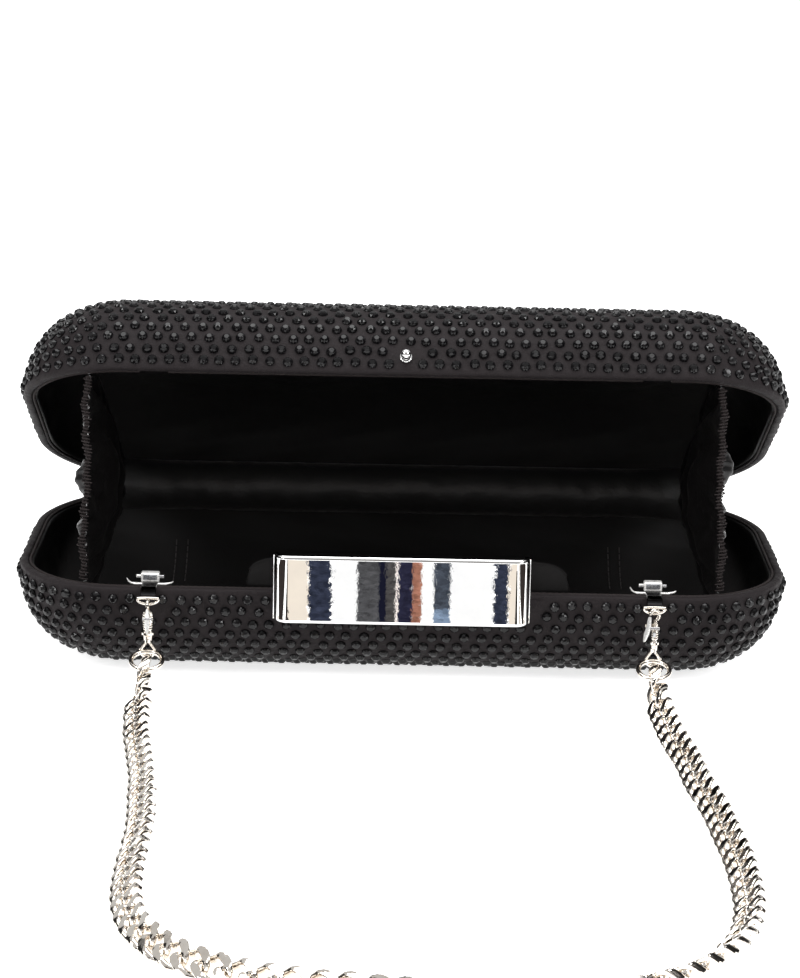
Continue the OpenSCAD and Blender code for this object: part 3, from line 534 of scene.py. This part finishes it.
def wall_stones(place):
    """Places and outward normals in rows round the wall, and the inset of the last row."""
    ins, zs = profile(0, SATIN_D, 500)
    arc = length_along(np.column_stack([ins, zs]))
    spots, row, s = [], 0, FIRST_ROW
    while s < arc[-1] - 1:
        j = int(np.searchsorted(arc, s))
        inset, z = ins[j], zs[j]
        di, dz = ins[j + 1] - ins[j - 1], zs[j + 1] - zs[j - 1]
        di, dz = di / math.hypot(di, dz), dz / math.hypot(di, dz)
        if inset > LAST_INSET:
            break
        for seg, f in ring_by_pitch(inset, ACROSS, 0.5 * (row % 2) + 0.1 * row):
            p, n = seg_at(seg, f, inset)
            p = p + np.array([-n[1], n[0]]) * rng.uniform(-0.35, 0.35)
            normal = np.array([-dz * n[0], -dz * n[1], -di])
            q = np.array([*p, z]) + np.array([-di * n[0], -di * n[1], dz]) * rng.uniform(-0.28, 0.28)
            if not bare(place, *q):
                sunk = 0.5 * float(ease(-z, 2, 6))
                spots.append((q - unit(normal) * sunk, normal))
        last = inset
        row += 1
        s += ROWS
    return spots, last


def face_stones(last):
    """Places and normals in straight rows over the face, inside the wall's last row."""
    spots = []
    for row, y in enumerate(np.arange(-24.0, 24.5, ROWS)):
        for x in np.arange(-76 + (2.1 if row % 2 else 0), 76, ACROSS):
            if inside_by(x, y) > last + 2.4:
                at = (x + rng.uniform(-0.3, 0.3), y + rng.uniform(-0.25, 0.25), -SATIN_D)
                spots.append((np.array(at), np.array([0, 0, -1.0])))
    return spots


def stones(name, place):
    spots, last = wall_stones(place)
    spots += face_stones(last)
    shape, faces = stone_shape()
    if place is front:
        faces = [f[::-1] for f in faces]
    verts, polys = [], []
    for i, (q, n) in enumerate(spots):
        n = unit(unit(n) + rng.normal(0, 0.035, 3))
        a = unit(np.cross(n, (1.0, 0, 0) if abs(n[0]) < 0.9 else (0, 1.0, 0)))
        b = np.cross(n, a)
        w = rng.uniform(0, pi / 4)
        a, b = a * cos(w) + b * sin(w), -a * sin(w) + b * cos(w)
        size = rng.uniform(0.95, 1.03)
        verts.append(q + size * (shape[:, :1] * a + shape[:, 1:2] * b) + shape[:, 2:] * n)
        polys += [[v + i * len(shape) for v in f] for f in faces]
    verts = place(np.vstack(verts))
    if place is front:
        verts[:, 2] = np.maximum(verts[:, 2], 0.0)
    return mesh(name, verts, polys, CRYSTAL, smooth=False)


for half, place in HALVES:
    ob = cover(f"{half}_cover_satin", place)
    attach(ob, half)
    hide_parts(f"{half}_satin_cover", f"{half}_shell")
    ob = stones(f"{half}_rhinestones", place)
    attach(ob, half)

# ---- Lining and piping ----
LINING_EDGE = [(2.35, -1.1), (2.6, -0.75), (2.95, -0.55), (3.35, -0.62), (3.62, -0.95)]


def lining(name, place):
    """Padded satin inside one half, slightly uneven over its wadding."""
    params = ring_params(STEP)
    wall = [(i, z) for i, z in zip(*profile(LINING_INNER, HALF_D - LINING_INNER, 24)) if z < -1.2]
    rings = []
    for i, z in LINING_EDGE + wall:
        p, n = rim_ring(params, i)
        wave = 0.28 * sin(p[:, 0] * 0.21 + z * 0.5) * sin(p[:, 1] * 0.27 + 1.3 + z * 0.3) * min(1, -z / 6)
        rings.append(np.column_stack([p - n * wave[:, None], z - hinge_dip(p, z, 2.2, 0.5)]))
    loop, mid = rings[-1], middle(rings[-1])
    for f in (0.08, 0.2, 0.35, 0.5, 0.65, 0.8, 1.0):
        q = loop * (1 - f) + mid * f
        q[:, 2] += 0.5 * sin(q[:, 0] * 0.13 + 2) * sin(q[:, 1] * 0.2) * (f < 0.9) + 0.3
        rings.append(q)
    return grid(name, place(np.stack(rings, 1)), LINING, loop_u=True, flip=place is back)


PIPE_R, PIPE_Z = 0.42, -0.42


def piping(name, place):
    """Fine cord between cover and lining, in the runs that the hinge and the fittings leave."""
    p, _ = rim_ring(ring_params(0.8), LINING_IN + 0.45)
    keep = ~((p[:, 1] > 40) & (abs(p[:, 0]) < HINGE_X + 1.5))
    if place is back:
        keep &= ~((p[:, 1] < -40) & (abs(abs(p[:, 0]) - FITTING_X) < 3.0))
    start = int(np.argmax(~keep))
    verts, faces, run, base = [], [], [], 0
    for i in [(start + k) % len(p) for k in range(len(p))] + [start]:
        if keep[i]:
            run.append([*p[i], PIPE_Z])
            continue
        if len(run) > 3:
            P = tube(run, PIPE_R + 0.05 * cos(np.arange(len(run)) * pi))
            verts.append(P.reshape(-1, 3))
            faces.append(quads(*P.shape[:2], False, True, base))
            base += len(verts[-1])
        run = []
    return mesh(name, place(np.vstack(verts)), np.vstack(faces), ELASTIC)


for half, place in HALVES:
    ob = lining(f"{half}_lining_satin", place)
    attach(ob, half)
    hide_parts(f"{half}_lining")
    ob = piping(f"{half}_piping_cord", place)
    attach(ob, half)
    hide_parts(f"{half}_piping")


# ---- Spine: the lining carried over the hinge in one soft roll ----
def spine():
    x, t = np.linspace(-83, 83, 170), np.linspace(0, 1, 44)
    y, z = AXIS_Y - hinge_side(x, 2.7), 6.0 + LIFT
    arm, dip = np.hypot(y, z)[:, None], np.arctan2(z, y)[:, None]
    X, T = np.meshgrid(x, t, indexing="ij")
    A = -dip + T * (OPEN + 2 * dip)
    r = arm + (1.7 - 0.5 * ease(abs(X), 56, 80)) * sin(pi * T) ** 0.8
    r = r + (0.22 * sin(X * 0.31 + 0.8) * sin(A * 2) + 0.12 * sin(X * 0.9 + 2 * A)) * sin(pi * T)
    # The roll's lighter satin is a painted highlight.
    return grid("spine_satin", np.stack([X, AXIS_Y - r * cos(A), AXIS_Z + r * sin(A)], -1), SPINE)


ob = spine()
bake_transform(ob)
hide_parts("spine_lining")

# ---- Gussets: gathered satin fans with an overlocked elastic along the free edge ----
GUSSET_X, MOUTH_Y, HEEL_Y = 80.0, -45.6, 39.6
HELD = 0.62                               # how far F runs on inside each half
GATHERS, STITCH_TURNS = 21, 62
BULGES = {                                # along the free edge: share of the opening, width, height
    -1: [(0.50, 0.085, 3.3), (0.24, 0.05, 2.6), (0.80, 0.07, 1.6)],
    1: [(0.62, 0.10, 3.6), (0.40, 0.035, 1.8), (0.27, 0.04, 2.0)],
}


def gusset(word, side):
    """Satin fan from rim to rim; F runs from half to half, and e inward from the free edge."""
    inward = (HEEL_Y - MOUTH_Y) * np.linspace(0, 1, 110) ** 1.5
    R, F = np.meshgrid(AXIS_Y - MOUTH_Y - inward, np.linspace(-HELD, 1 + HELD, 260), indexing="ij")
    phi = np.clip(F, 0, 1) * OPEN
    below, above = np.clip(-F, 0, None), np.clip(F - 1, 0, None)
    wall = 15.5 * np.clip((R - 10) / 60, 0.2, 1)
    y = AXIS_Y - R * cos(phi) + above * wall * sin(OPEN) + below * 2 * (R > 80)
    z = AXIS_Z + R * sin(phi) - below * wall + above * wall * cos(OPEN)

    e = AXIS_Y - MOUTH_Y - R
    near, mid = np.exp(-e / 4.5), np.clip(sin(pi * np.clip((F + 0.3) / 1.6, 0, 1)), 0, 1)
    puff = sum(h * np.exp(-((F - at) / wide) ** 2) for at, wide, h in BULGES[side])
    x = GUSSET_X + puff * ease(e, 0.5, 5) * (1 - ease(e, 9, 26))
    x = x - 4.2 * mid * ease(e, 12, 34) * (1 - ease(e, 58, 86))
    rings = np.hypot((F - (0.42 if side < 0 else 0.36)) * 46, e - 24)
    calm = 1 - ease(e, 60, 84)
    x = x + 0.95 * sin(rings * 0.4 + 0.9 * sin(F * 7)) * ease(e, 4, 16) * calm
    x = x + 0.3 * sin(F * 17 + e * 0.16 + sin(e * 0.21)) * ease(e, 3, 12) * calm
    gather = F * 2 * pi * GATHERS
    x = x + 0.55 * near * sin(gather + 0.8 * sin(F * 17)) * (1 - 0.5 * mid * (side > 0))
    y = y + 0.3 * near * cos(gather)
    # Its satin is painted darker than the lining: painted shade.
    return grid(f"{word}_gusset_satin", np.stack([side * x, y, z], -1), SHADED_SATIN, flip=side > 0)


def elastic(word, side):
    """Overlock thread wound round a soft core along the gusset's free edge."""
    arm = AXIS_Y - MOUTH_Y + 0.4
    f = np.linspace(0.004, 0.996, 1100)
    y, z = AXIS_Y - arm * cos(f * OPEN), AXIS_Z + arm * sin(f * OPEN)
    turn = f * 2 * pi * STITCH_TURNS
    reach = 0.85 + 0.26 * sin(f * 61) * sin(f * 23) + 0.16 * sin(f * 187)
    lean = GUSSET_X + 0.45 * sin(f * 9) + 0.25 * sin(f * 37 + 1)
    thread = tube(np.stack([side * (lean + reach * cos(turn)), y - 0.2 + 0.45 * sin(turn), z], -1), 0.17, 6)
    line = np.stack([side * (lean + 0.2 * sin(f * 390)), y + 0.35, z + 0.1 * sin(f * 300)], -1)
    core = tube(line[::4], 0.5 + 0.1 * sin(turn[::4]))
    verts = np.vstack([thread.reshape(-1, 3), core.reshape(-1, 3)])
    faces = np.vstack([quads(*thread.shape[:2], False, True),
                       quads(*core.shape[:2], False, True, thread.size // 3)])
    return mesh(f"{word}_elastic_edge", verts, faces, ELASTIC)


for word, side in SIDES:
    ob = gusset(word, side)
    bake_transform(ob)
    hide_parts(f"{word}_gusset")
    ob = elastic(word, side)
    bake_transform(ob)
    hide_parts(f"{word}_gusset_elastic")

# ---- Slip pocket in the front half ----
POCKET_LINE = np.array([                  # y and z of its section, from the open edge down
    (-44.3, -2.1), (-43.6, -4), (-42.6, -9), (-41.2, -14), (-38.5, -18.4), (-34, -20.9), (-26, -21.7),
    (0, -21.7), (17, -21.7)])


def pocket():
    d = length_along(POCKET_LINE)
    x, t = np.linspace(-56.5, 56.5, 110), np.linspace(0, 1, 30)
    y, z = (np.interp(t ** 1.5, d / d[-1], column) for column in POCKET_LINE.T)
    X, T = np.meshgrid(x, t, indexing="ij")
    top = 1 - ease(T, 0.0, 0.62)
    sag = np.exp(-((abs(X) - 27) / 12) ** 2)
    y = y + top * (2.6 * sag + 0.6 * sin(X * 0.22))
    z = z - top * (0.9 * sag + 0.25 * sin(X * 0.3 + 1)) + 0.3
    return grid("slip_pocket_satin", front(np.stack([X, y, z], -1)), LINING)


ob = pocket()
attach(ob, "front")
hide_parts("slip_pocket")


# ---- Small pieces built from tubes, boxes and lofts, in the front half's own frame ----
class Bits:
    def __init__(self):
        self.v, self.f, self.n = [], [], 0

    def loft(self, rings, closed=False):
        """Rings of points joined up, with an end face on each end unless the line of rings is closed."""
        P = np.asarray(rings, float)
        m, k = P.shape[:2]
        f = quads(m, k, closed, True).tolist()
        if not closed:
            f += [list(range(k))[::-1], list(range(m * k - k, m * k))]
        self.v.append(P.reshape(-1, 3))
        self.f += [[i + self.n for i in q] for q in f]
        self.n += m * k
        return self

    def tube(self, line, r, sides=12, closed=False):
        return self.loft(tube(line, r, sides, closed), closed)

    def box(self, at, size, b=0.15):
        """A box with bevels b wide."""
        a = np.radians([0, 45, 90, 90, 135, 180, 180, 225, 270, 270, 315, 360])
        sx, sy = np.repeat([1, -1, -1, 1], 3), np.repeat([1, 1, -1, -1], 3)

        def ring(w, d, z, r):
            x, y = sx * (w / 2 - r) + r * cos(a), sy * (d / 2 - r) + r * sin(a)
            return np.column_stack([x, y, np.full(12, z)]) + at

        w, d, h = size
        return self.loft([ring(w - 2 * b, d - 2 * b, -h / 2, b / 3), ring(w, d, b - h / 2, b),
                          ring(w, d, h / 2 - b, b), ring(w - 2 * b, d - 2 * b, h / 2, b / 3)])

    def make(self, name, mat, body, slot, node=None, turn=None):
        v = np.vstack(self.v)
        ob = mesh(name, front(turn(v) if turn else v), self.f, mat)
        ob.data.set_sharp_from_angle(angle=math.radians(34))
        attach(ob, body)
        if node:
            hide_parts(node)


def mount():
    """The satin mount behind the clasp bar, with a rolled top edge."""
    t, h = np.meshgrid(np.linspace(-1, 1, 80), np.linspace(0, 1, 16), indexing="ij")
    x = 1.5 + 41 * t
    z = -4 + h * (4 + 6.6 * (1 - np.abs(t) ** 14) ** 0.5 + 0.01)
    y = -46.9 + 0.22 * np.clip(z, 0, None) + 0.25 * sin(pi * h) + 0.1 * sin(x * 0.5)
    P = np.stack([x, y, z], -1)
    b = Bits().loft([np.vstack([p, (p + (0, 1.0, 0))[::-1]]) for p in P])
    b.tube(P[1:-1, -1] + (0, 0.5, 0), 0.55, 8)
    # The mount takes the gussets' darker satin: painted shade behind the bar.
    b.make("clasp_mount_satin", SHADED_SATIN, "front", "lining_satin")


SEAMS = (-63.4, -60.2, 58.6, 61.8)
SEAM_TOP, STITCH, STITCH_PITCH = -13.2, 1.5, 2.1


def stitches():
    """The double seams of the lining panel left and right of the pocket, up the hinge-side wall."""
    ins, zs = profile(LINING_INNER, HALF_D - LINING_INNER, 400)
    keep = (ins < 21) & (zs < SEAM_TOP)
    ins, zs = ins[keep] + 0.22, zs[keep] + 0.12
    arc = length_along(np.column_stack([ins, zs]))
    b = Bits()
    for x in SEAMS:
        for s in np.arange(0.5, arc[-1] - STITCH - 0.1, STITCH_PITCH):
            d = np.linspace(s, s + STITCH, 4)
            i, z = np.interp(d, arc, ins), np.interp(d, arc, zs)
            line = np.column_stack([np.full(4, x), hinge_side(x, i), z + [-0.15, 0.05, 0.05, -0.15]])
            b.tube(line, 0.17, 6)
    b.make("pocket_stitches", THREAD, "front", "lining_satin")


mount()
stitches()

# ---- Strap fittings: bracket, tab, swivel clasp with its trigger, and eye ----
TAB_Y, RIM_Y, LOOP_Y, HOOK_Y = -44.94, -46.5, -53.0, -53.75
TURN_TOP, TURN_LOW = -3.5, -13.0          # heights where the clasp hangs in its loop and ends in its swivel
EYE_Z, EYE_R = -15.3, 1.75
TONGUE = [(-45.6, 0.3), (-47.4, 0.28), (-50.2, 0.28), (-51.6, 0.22), (-52.3, -0.1), (-52.55, -0.9),
          (-52.55, -2.0), (-52.45, -2.6)]
TONGUE_EDGE = ((-1, 1.95, -0.2), (-1, 1.8, 0.08), (1, 1.8, 0.08), (1, 1.95, -0.2))
HOOK_WIRE = [(-1.2, 0.52), (1.0, 0.5), (3.0, 0.42)]
# Depth below the rim, with the half width and half depth of the clasp's body there
BODY_W = [(4.9, 0.55), (5.6, 0.9), (7, 1.05), (9.6, 0.9), (10.2, 0.85), (10.7, 1.2), (11.3, 1.2),
          (11.6, 0.85), (12.9, 0.75)]
BODY_D = [(4.9, 0.5), (5.6, 0.6), (7, 0.85), (8.6, 0.95), (10.2, 0.85), (10.7, 1.2), (11.3, 1.2),
          (11.6, 0.85), (12.9, 0.75)]
LEAF_W = [(4.2, 0.42), (5, 0.72), (6.75, 1.0), (8.4, 1.0), (9.8, 0.6), (10.4, 0.12)]
LEAF_Y = [(4.2, -55.05), (5.2, -55.2), (6.75, -55.35), (8.4, -56.0), (10.4, -56.5)]


def tab(word, X):
    """Chromed box and panel on the rim, the black tongue over it and the D loop below."""
    body, slot = f"{word}_tab", "dark_chrome"
    b = Bits().box((X, TAB_Y, 1.3), (4.6, 2.4, 2.4), 0.22)
    b.tube([(X - 2.2, TAB_Y, 1.35), (X - 3.5, TAB_Y, 1.35)], 0.5)
    b.make(f"{word}_tab_box", FRAME, body, slot, f"{word}_strap_tab")
    b = Bits().box((X, TAB_Y - 1.2, 1.45), (3.5, 0.2, 1.3), 0.05)
    b.make(f"{word}_tab_panel", PANEL, body, slot)
    b = Bits().loft([[(X + e * w, y - t * (z < 0), z + t * (z > 0)) for e, w, t in TONGUE_EDGE]
                     for y, z in TONGUE])
    b.make(f"{word}_tab_tongue", BLACKED, body, slot)
    t = np.linspace(0, 2 * pi, 40, endpoint=False)
    drop = -2.15 - 1.4 * np.where(sin(t) < 0, -sin(t), -0.12 * sin(t))
    b = Bits().tube(np.column_stack([X + 2.7 * cos(t), np.full(40, LOOP_Y), drop]), 0.36, closed=True)
    b.make(f"{word}_tab_loop", SILVER, body, slot)


def bracket(word, X):
    """Plate in the rim with an upturned horn on each side, and its leg down the wall."""
    b = Bits().box((X, RIM_Y, -0.12), (8.6, 0.9, 0.42), 0.12)
    for e, up in ((-1, 1.3), (1, 0.55)):
        line = [(-0.4, -0.1), (0.6, -0.02), (1.3, up * 0.35), (1.75, up)]
        b.tube([(X + e * (4.1 + out), RIM_Y, z) for out, z in line], [0.26, 0.26, 0.24, 0.12], 10)
    b.box((X, RIM_Y - 0.05, -3.2), (8.0, 0.5, 4.4), 0.15)
    b.make(f"{word}_bracket", FRAME, "front", "dark_chrome", f"{word}_strap_bracket")


def clasp(word, X, turned, leaf_w, body_w):
    """Lobster clasp (hook, knurled body, leaf) as it hangs, turned by its own angle in degrees."""
    w = math.radians(turned)

    def turn(v):
        x, y, z = v[:, 0] - X, v[:, 1] - HOOK_Y, v[:, 2]
        kept = (np.clip(z, TURN_LOW, TURN_TOP) - TURN_LOW) / (TURN_TOP - TURN_LOW) * (LOOP_Y - HOOK_Y)
        return np.column_stack([X + x * cos(w) - y * sin(w),
                                HOOK_Y + x * sin(w) + y * cos(w) + kept * (1 - cos(w)), z])

    t = np.radians(np.linspace(-68, 172, 26))
    hook = np.column_stack([np.full(26, X), HOOK_Y + 1.35 * cos(t), -3.85 + 1.35 * sin(t)])
    b = Bits().tube(hook, along(HOOK_WIRE, t))
    depth = np.linspace(4.9, 12.9, 66)
    knurl = 1 - 0.07 * sin(depth * 2 * pi / 0.62) * ((depth > 5.6) & (depth < 10.2))
    a = np.arange(14) * 2 * pi / 14
    b.loft([np.column_stack([X + body_w * p * cos(a), -53.5 + d * sin(a), np.full(14, -z)])
            for p, d, z in zip(along(BODY_W, depth) * knurl, along(BODY_D, depth) * knurl, depth)])
    for e in (-1, 1):
        b.box((X + e * (leaf_w + 0.2), -54.75, -6.75), (0.24, 1.7, 0.8), 0.08)
    b.make(f"{word}_lobster", SILVER, f"{word}_clasp", "chrome", f"{word}_lobster_body", turn)

    depth = np.linspace(4.2, 10.4, 22)
    across, through = np.array([-1, -0.6, 0.6, 1, 0.6, -0.6]), np.array([0, -0.3, -0.3, 0, 0.22, 0.22])
    b = Bits().loft([np.column_stack([X + half * across, y + through, np.full(6, -z)])
                     for half, y, z in zip(along(LEAF_W, depth) * leaf_w, along(LEAF_Y, depth), depth)])
    b.make(f"{word}_leaf", FRAME, f"{word}_trigger", "chrome", f"{word}_lobster_trigger", turn)


def eye(word, X):
    """Swivel eye: a drop-shaped loop under its collar."""
    t = np.linspace(0, 2 * pi, 36, endpoint=False)
    x, z = EYE_R * sin(t), EYE_Z - EYE_R * cos(t)
    tip = ease(z, EYE_Z, EYE_Z + 1.8)
    line = np.column_stack([X + x * (1 - 0.62 * tip), np.full(36, HOOK_Y), z + 0.9 * tip])
    b = Bits().tube(line, 0.5, closed=True)
    b.tube([(X, HOOK_Y, -12.5), (X, HOOK_Y, -13.3)], 0.8, 14)
    b.make(f"{word}_eye_loop", SILVER, f"{word}_eye", "chrome", f"{word}_swivel_eye")


for (word, side), hang in zip(SIDES, ((0, 0.62, 1.35), (-62, 1.05, 1.0))):
    tab(word, side * FITTING_X)
    bracket(word, side * FITTING_X)
    clasp(word, side * FITTING_X, *hang)
    eye(word, side * FITTING_X)

# ---- Looks of the metal parts that keep their CAD shape ----
KEPT = [
    (CHROME, ["clasp_bar", "ball_stud"]),
    (DARK, ["front_hinge_leaf", "back_hinge_leaf"]),
    (SILVER, ["left_jump_ring", "right_jump_ring"]),
    (STEEL, ["clasp_base", "clasp_base_rivets", "clasp_pin", "clasp_spring", "hinge_pin", "stud_nut",
             "front_hinge_rivets", "back_hinge_rivets"]),
    (STEEL, [f"{word}_{part}" for word, _ in SIDES
             for part in ("bracket_rivet", "tab_pin", "trigger_pin", "trigger_spring")]),
]
for look, names in KEPT:
    for name in names:
        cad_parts[name].data.materials.clear()
        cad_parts[name].data.materials.append(look)

# ---- Floor ----
FLOOR, FLOOR_GLOW = 2200, 0.76


def floor_material():
    """Pale matte that glows for the camera and in reflections alone, so that it reads as white."""
    n = material("floor_pale").set(base=(0.8, 0.8, 0.8, 1), rough=0.9, spec=0.1)
    path, light, both = n.new("LightPath"), n.new("Emission"), n.new("AddShader")
    seen = n.math("MAXIMUM", path.outputs["Is Camera Ray"], path.outputs["Is Glossy Ray"])
    n.link(n.math("MULTIPLY", seen, FLOOR_GLOW), light.inputs["Strength"])
    n.link(n.b.outputs[0], both.inputs[0])
    n.link(light.outputs[0], both.inputs[1])
    n.link(both.outputs[0], n.t.nodes["Material Output"].inputs["Surface"])
    return n.owner


corners = [(-FLOOR, -FLOOR, 0), (FLOOR, -FLOOR, 0), (FLOOR, FLOOR, 0), (-FLOOR, FLOOR, 0)]
mesh("floor", corners, [range(4)], floor_material(), False)


# ---- What the polished metal mirrors: the floor, and glowing stand-ins for the things round the photographer, which paint the clasp bar's reflection ----
def glow_only(name, verts, colour, faces=None):
    """A glowing surface, one face by default, that only polished metal sees, for a painted reflection; it is
    no lamp. The darker ones are mottled.
    """
    n = material(name).set(base=(0, 0, 0, 1), spec=0, glow=(*colour, 1), glow_level=1)
    if max(colour) < 0.4 and min(colour) > 0.012:
        where, noise = n.new("TexCoord"), n.new("TexNoise", Scale=420, Detail=4)
        n.link(where.outputs["Object"], noise.inputs["Vector"])
        low, high = ([c * share for c in colour] for share in (0.62, 1.9))
        n.link(n.ramp(noise.outputs["Fac"], low, high, 0.35, 0.72), "glow")
    ob = mesh(name, verts, faces or [range(len(verts))], n.owner, False)
    ob.visible_camera = ob.visible_diffuse = ob.visible_shadow = False


EYE = np.array([-3.65, 648.94, 239.42])   # the camera, mirrored in the clasp bar's face
BAR_Y, BAR_Z, BAR_H = -56.95, 18.6, 18.6


def on_floor(x, h, z=0.5):
    """Where the bar mirrors its own point x, at height share h, just over the floor."""
    p = np.array([1.01 * x + 0.9, BAR_Y, BAR_Z + BAR_H * h])
    t = (EYE[2] - z) / (EYE[2] - p[2])
    return EYE + t * (p - EYE)


def band(name, x0, x1, colour, rough0=0.0, rough1=0.0, h0=0.0, h1=1.0, n=44):
    """A glowing strip that the bar mirrors from x0 to x1, a painted reflection; rough0 and rough1 fray its
    two edges.
    """
    h = np.linspace(h0, h1, n)
    left = [on_floor(x0 + rough0 * v, k) for k, v in zip(h, rng.uniform(-1, 1, n))]
    right = [on_floor(x1 + rough1 * v, k) for k, v in zip(h, rng.uniform(-1, 1, n))]
    faces = [(2 * k, 2 * k + 1, 2 * k + 3, 2 * k + 2) for k in range(n - 1)]
    glow_only(f"mirror_{name}", np.stack([left, right], 1), colour, faces)


def patch(name, outline, colour):
    """A dark glowing patch on the floor that the bar mirrors over one of its ends: a painted reflection."""
    glow_only(f"mirror_{name}", [on_floor(x, h, 0.8) for x, h in outline], colour)


CREAM, WHITE = (0.98, 0.88, 0.76), (1.1, 1.1, 1.1)
NAVY, BROWNISH = (0.030, 0.036, 0.060), (0.030, 0.024, 0.022)
band("cream_left", -45, -23.9, CREAM, 0, 0.3)
band("navy_left", -23.9, -18.2, NAVY, 0.3, 0.7)
band("white_a", -18.0, -11.8, WHITE)
band("grey_left", -11.9, -6.5, (0.075, 0.075, 0.080), 0.05)
band("ink", -6.5, -4.8, (0.010, 0.011, 0.025))
band("grey_mid", -4.8, -2.4, (0.070, 0.066, 0.066), 0, 0.04)
band("line", -2.4, -1.8, (1.1, 1.0, 0.95), 0.05, 0.05)
band("navy_mid", -1.8, 1.7, (0.022, 0.022, 0.045))
band("brown", 1.7, 4.0, (0.36, 0.16, 0.11), 0.1, 0.2)
band("white_b", 4.0, 7.0, WHITE, 0.1)
band("slate", 7.0, 11.1, (0.055, 0.065, 0.085), 0.15, 0.15, 0.28, 1)
band("slate_low", 7.0, 11.1, (0.20, 0.27, 0.38), 0.15, 0.15, 0, 0.28, 14)
band("white_c", 11.1, 21.8, WHITE, 0.1)
band("navy_right", 21.8, 25.4, NAVY, 0.5, 0.3)
band("cream_right", 25.4, 46, CREAM, 0.3, 0)
patch("corner_left", [(-45, 0), (-28.6, 0), (-29.0, 0.22), (-29.8, 0.5), (-31.2, 0.86), (-36, 1), (-45, 1)],
      BROWNISH)
patch("corner_right", [(46, 0), (27.2, 0), (27.6, 0.3), (28.6, 0.55), (30.0, 0.7), (33.5, 0.8), (46, 0.8)],
      BROWNISH)


# Dark glowing strips on the floor beside the bag, seen only in polished metal: painted shade in what the
# metal mirrors.
for word, x0, x1 in (("left", -145, -72), ("right", 86, 150)):
    glow_only(f"mirror_shade_{word}", [(x0, -200, 0.5), (x1, -200, 0.5), (x1, -72, 0.5), (x0, -72, 0.5)],
              (0.035, 0.028, 0.026))


def card(name, a, b, low, high, colour):
    """An upright card from a to b."""
    glow_only(name, [(*a, low), (*b, low), (*b, high), (*a, high)], colour)


# Dark cards at the sides and a warm one behind the camera, glowing and seen only in polished metal: painted
# reflections.
card("card_left", (-520, -700), (-520, 250), 30, 420, (0.02, 0.02, 0.02))
card("card_right", (520, -700), (520, 250), 30, 420, (0.02, 0.02, 0.02))
card("card_warm", (-900, -1500), (900, -1500), 250, 900, (0.10, 0.08, 0.07))


# ---- Lamps and background ----
AIM = (0, 0, 0.03)


def lamp(name, where, size, power):
    light = bpy.data.lights.new(name, "AREA")
    light.shape, light.size, light.size_y, light.energy = "RECTANGLE", *size, power
    ob = bpy.data.objects.new(name, light)
    ob.location = where
    ob.rotation_euler = (Vector(AIM) - Vector(where)).to_track_quat("-Z", "Y").to_euler()
    bpy.context.scene.collection.objects.link(ob)


lamp("lamp_top", (0, 0.05, 1.3), (1.2, 1.0), 14)
lamp("lamp_left", (-1.0, -0.7, 0.7), (0.5, 0.5), 9)
lamp("lamp_right", (1.0, -0.7, 0.7), (0.5, 0.5), 9)

SKY_LIGHT, SKY_SEEN, SKY_MIRRORED = 0.45, 1.0, 0.3
world = bpy.data.worlds.new("studio")
bpy.context.scene.world = world
sky = Nodes(world, "Background")
sky.b.inputs["Color"].default_value = (1, 1, 1, 1)
path = sky.new("LightPath")
glossy = sky.math("MULTIPLY", path.outputs["Is Glossy Ray"], SKY_MIRRORED)
seen = sky.math("MAXIMUM", path.outputs["Is Camera Ray"], glossy)
sky.link(sky.span(seen, SKY_LIGHT, SKY_SEEN, 0, 1), sky.b.inputs["Strength"])
bpy.context.scene.view_settings.view_transform = "Standard"
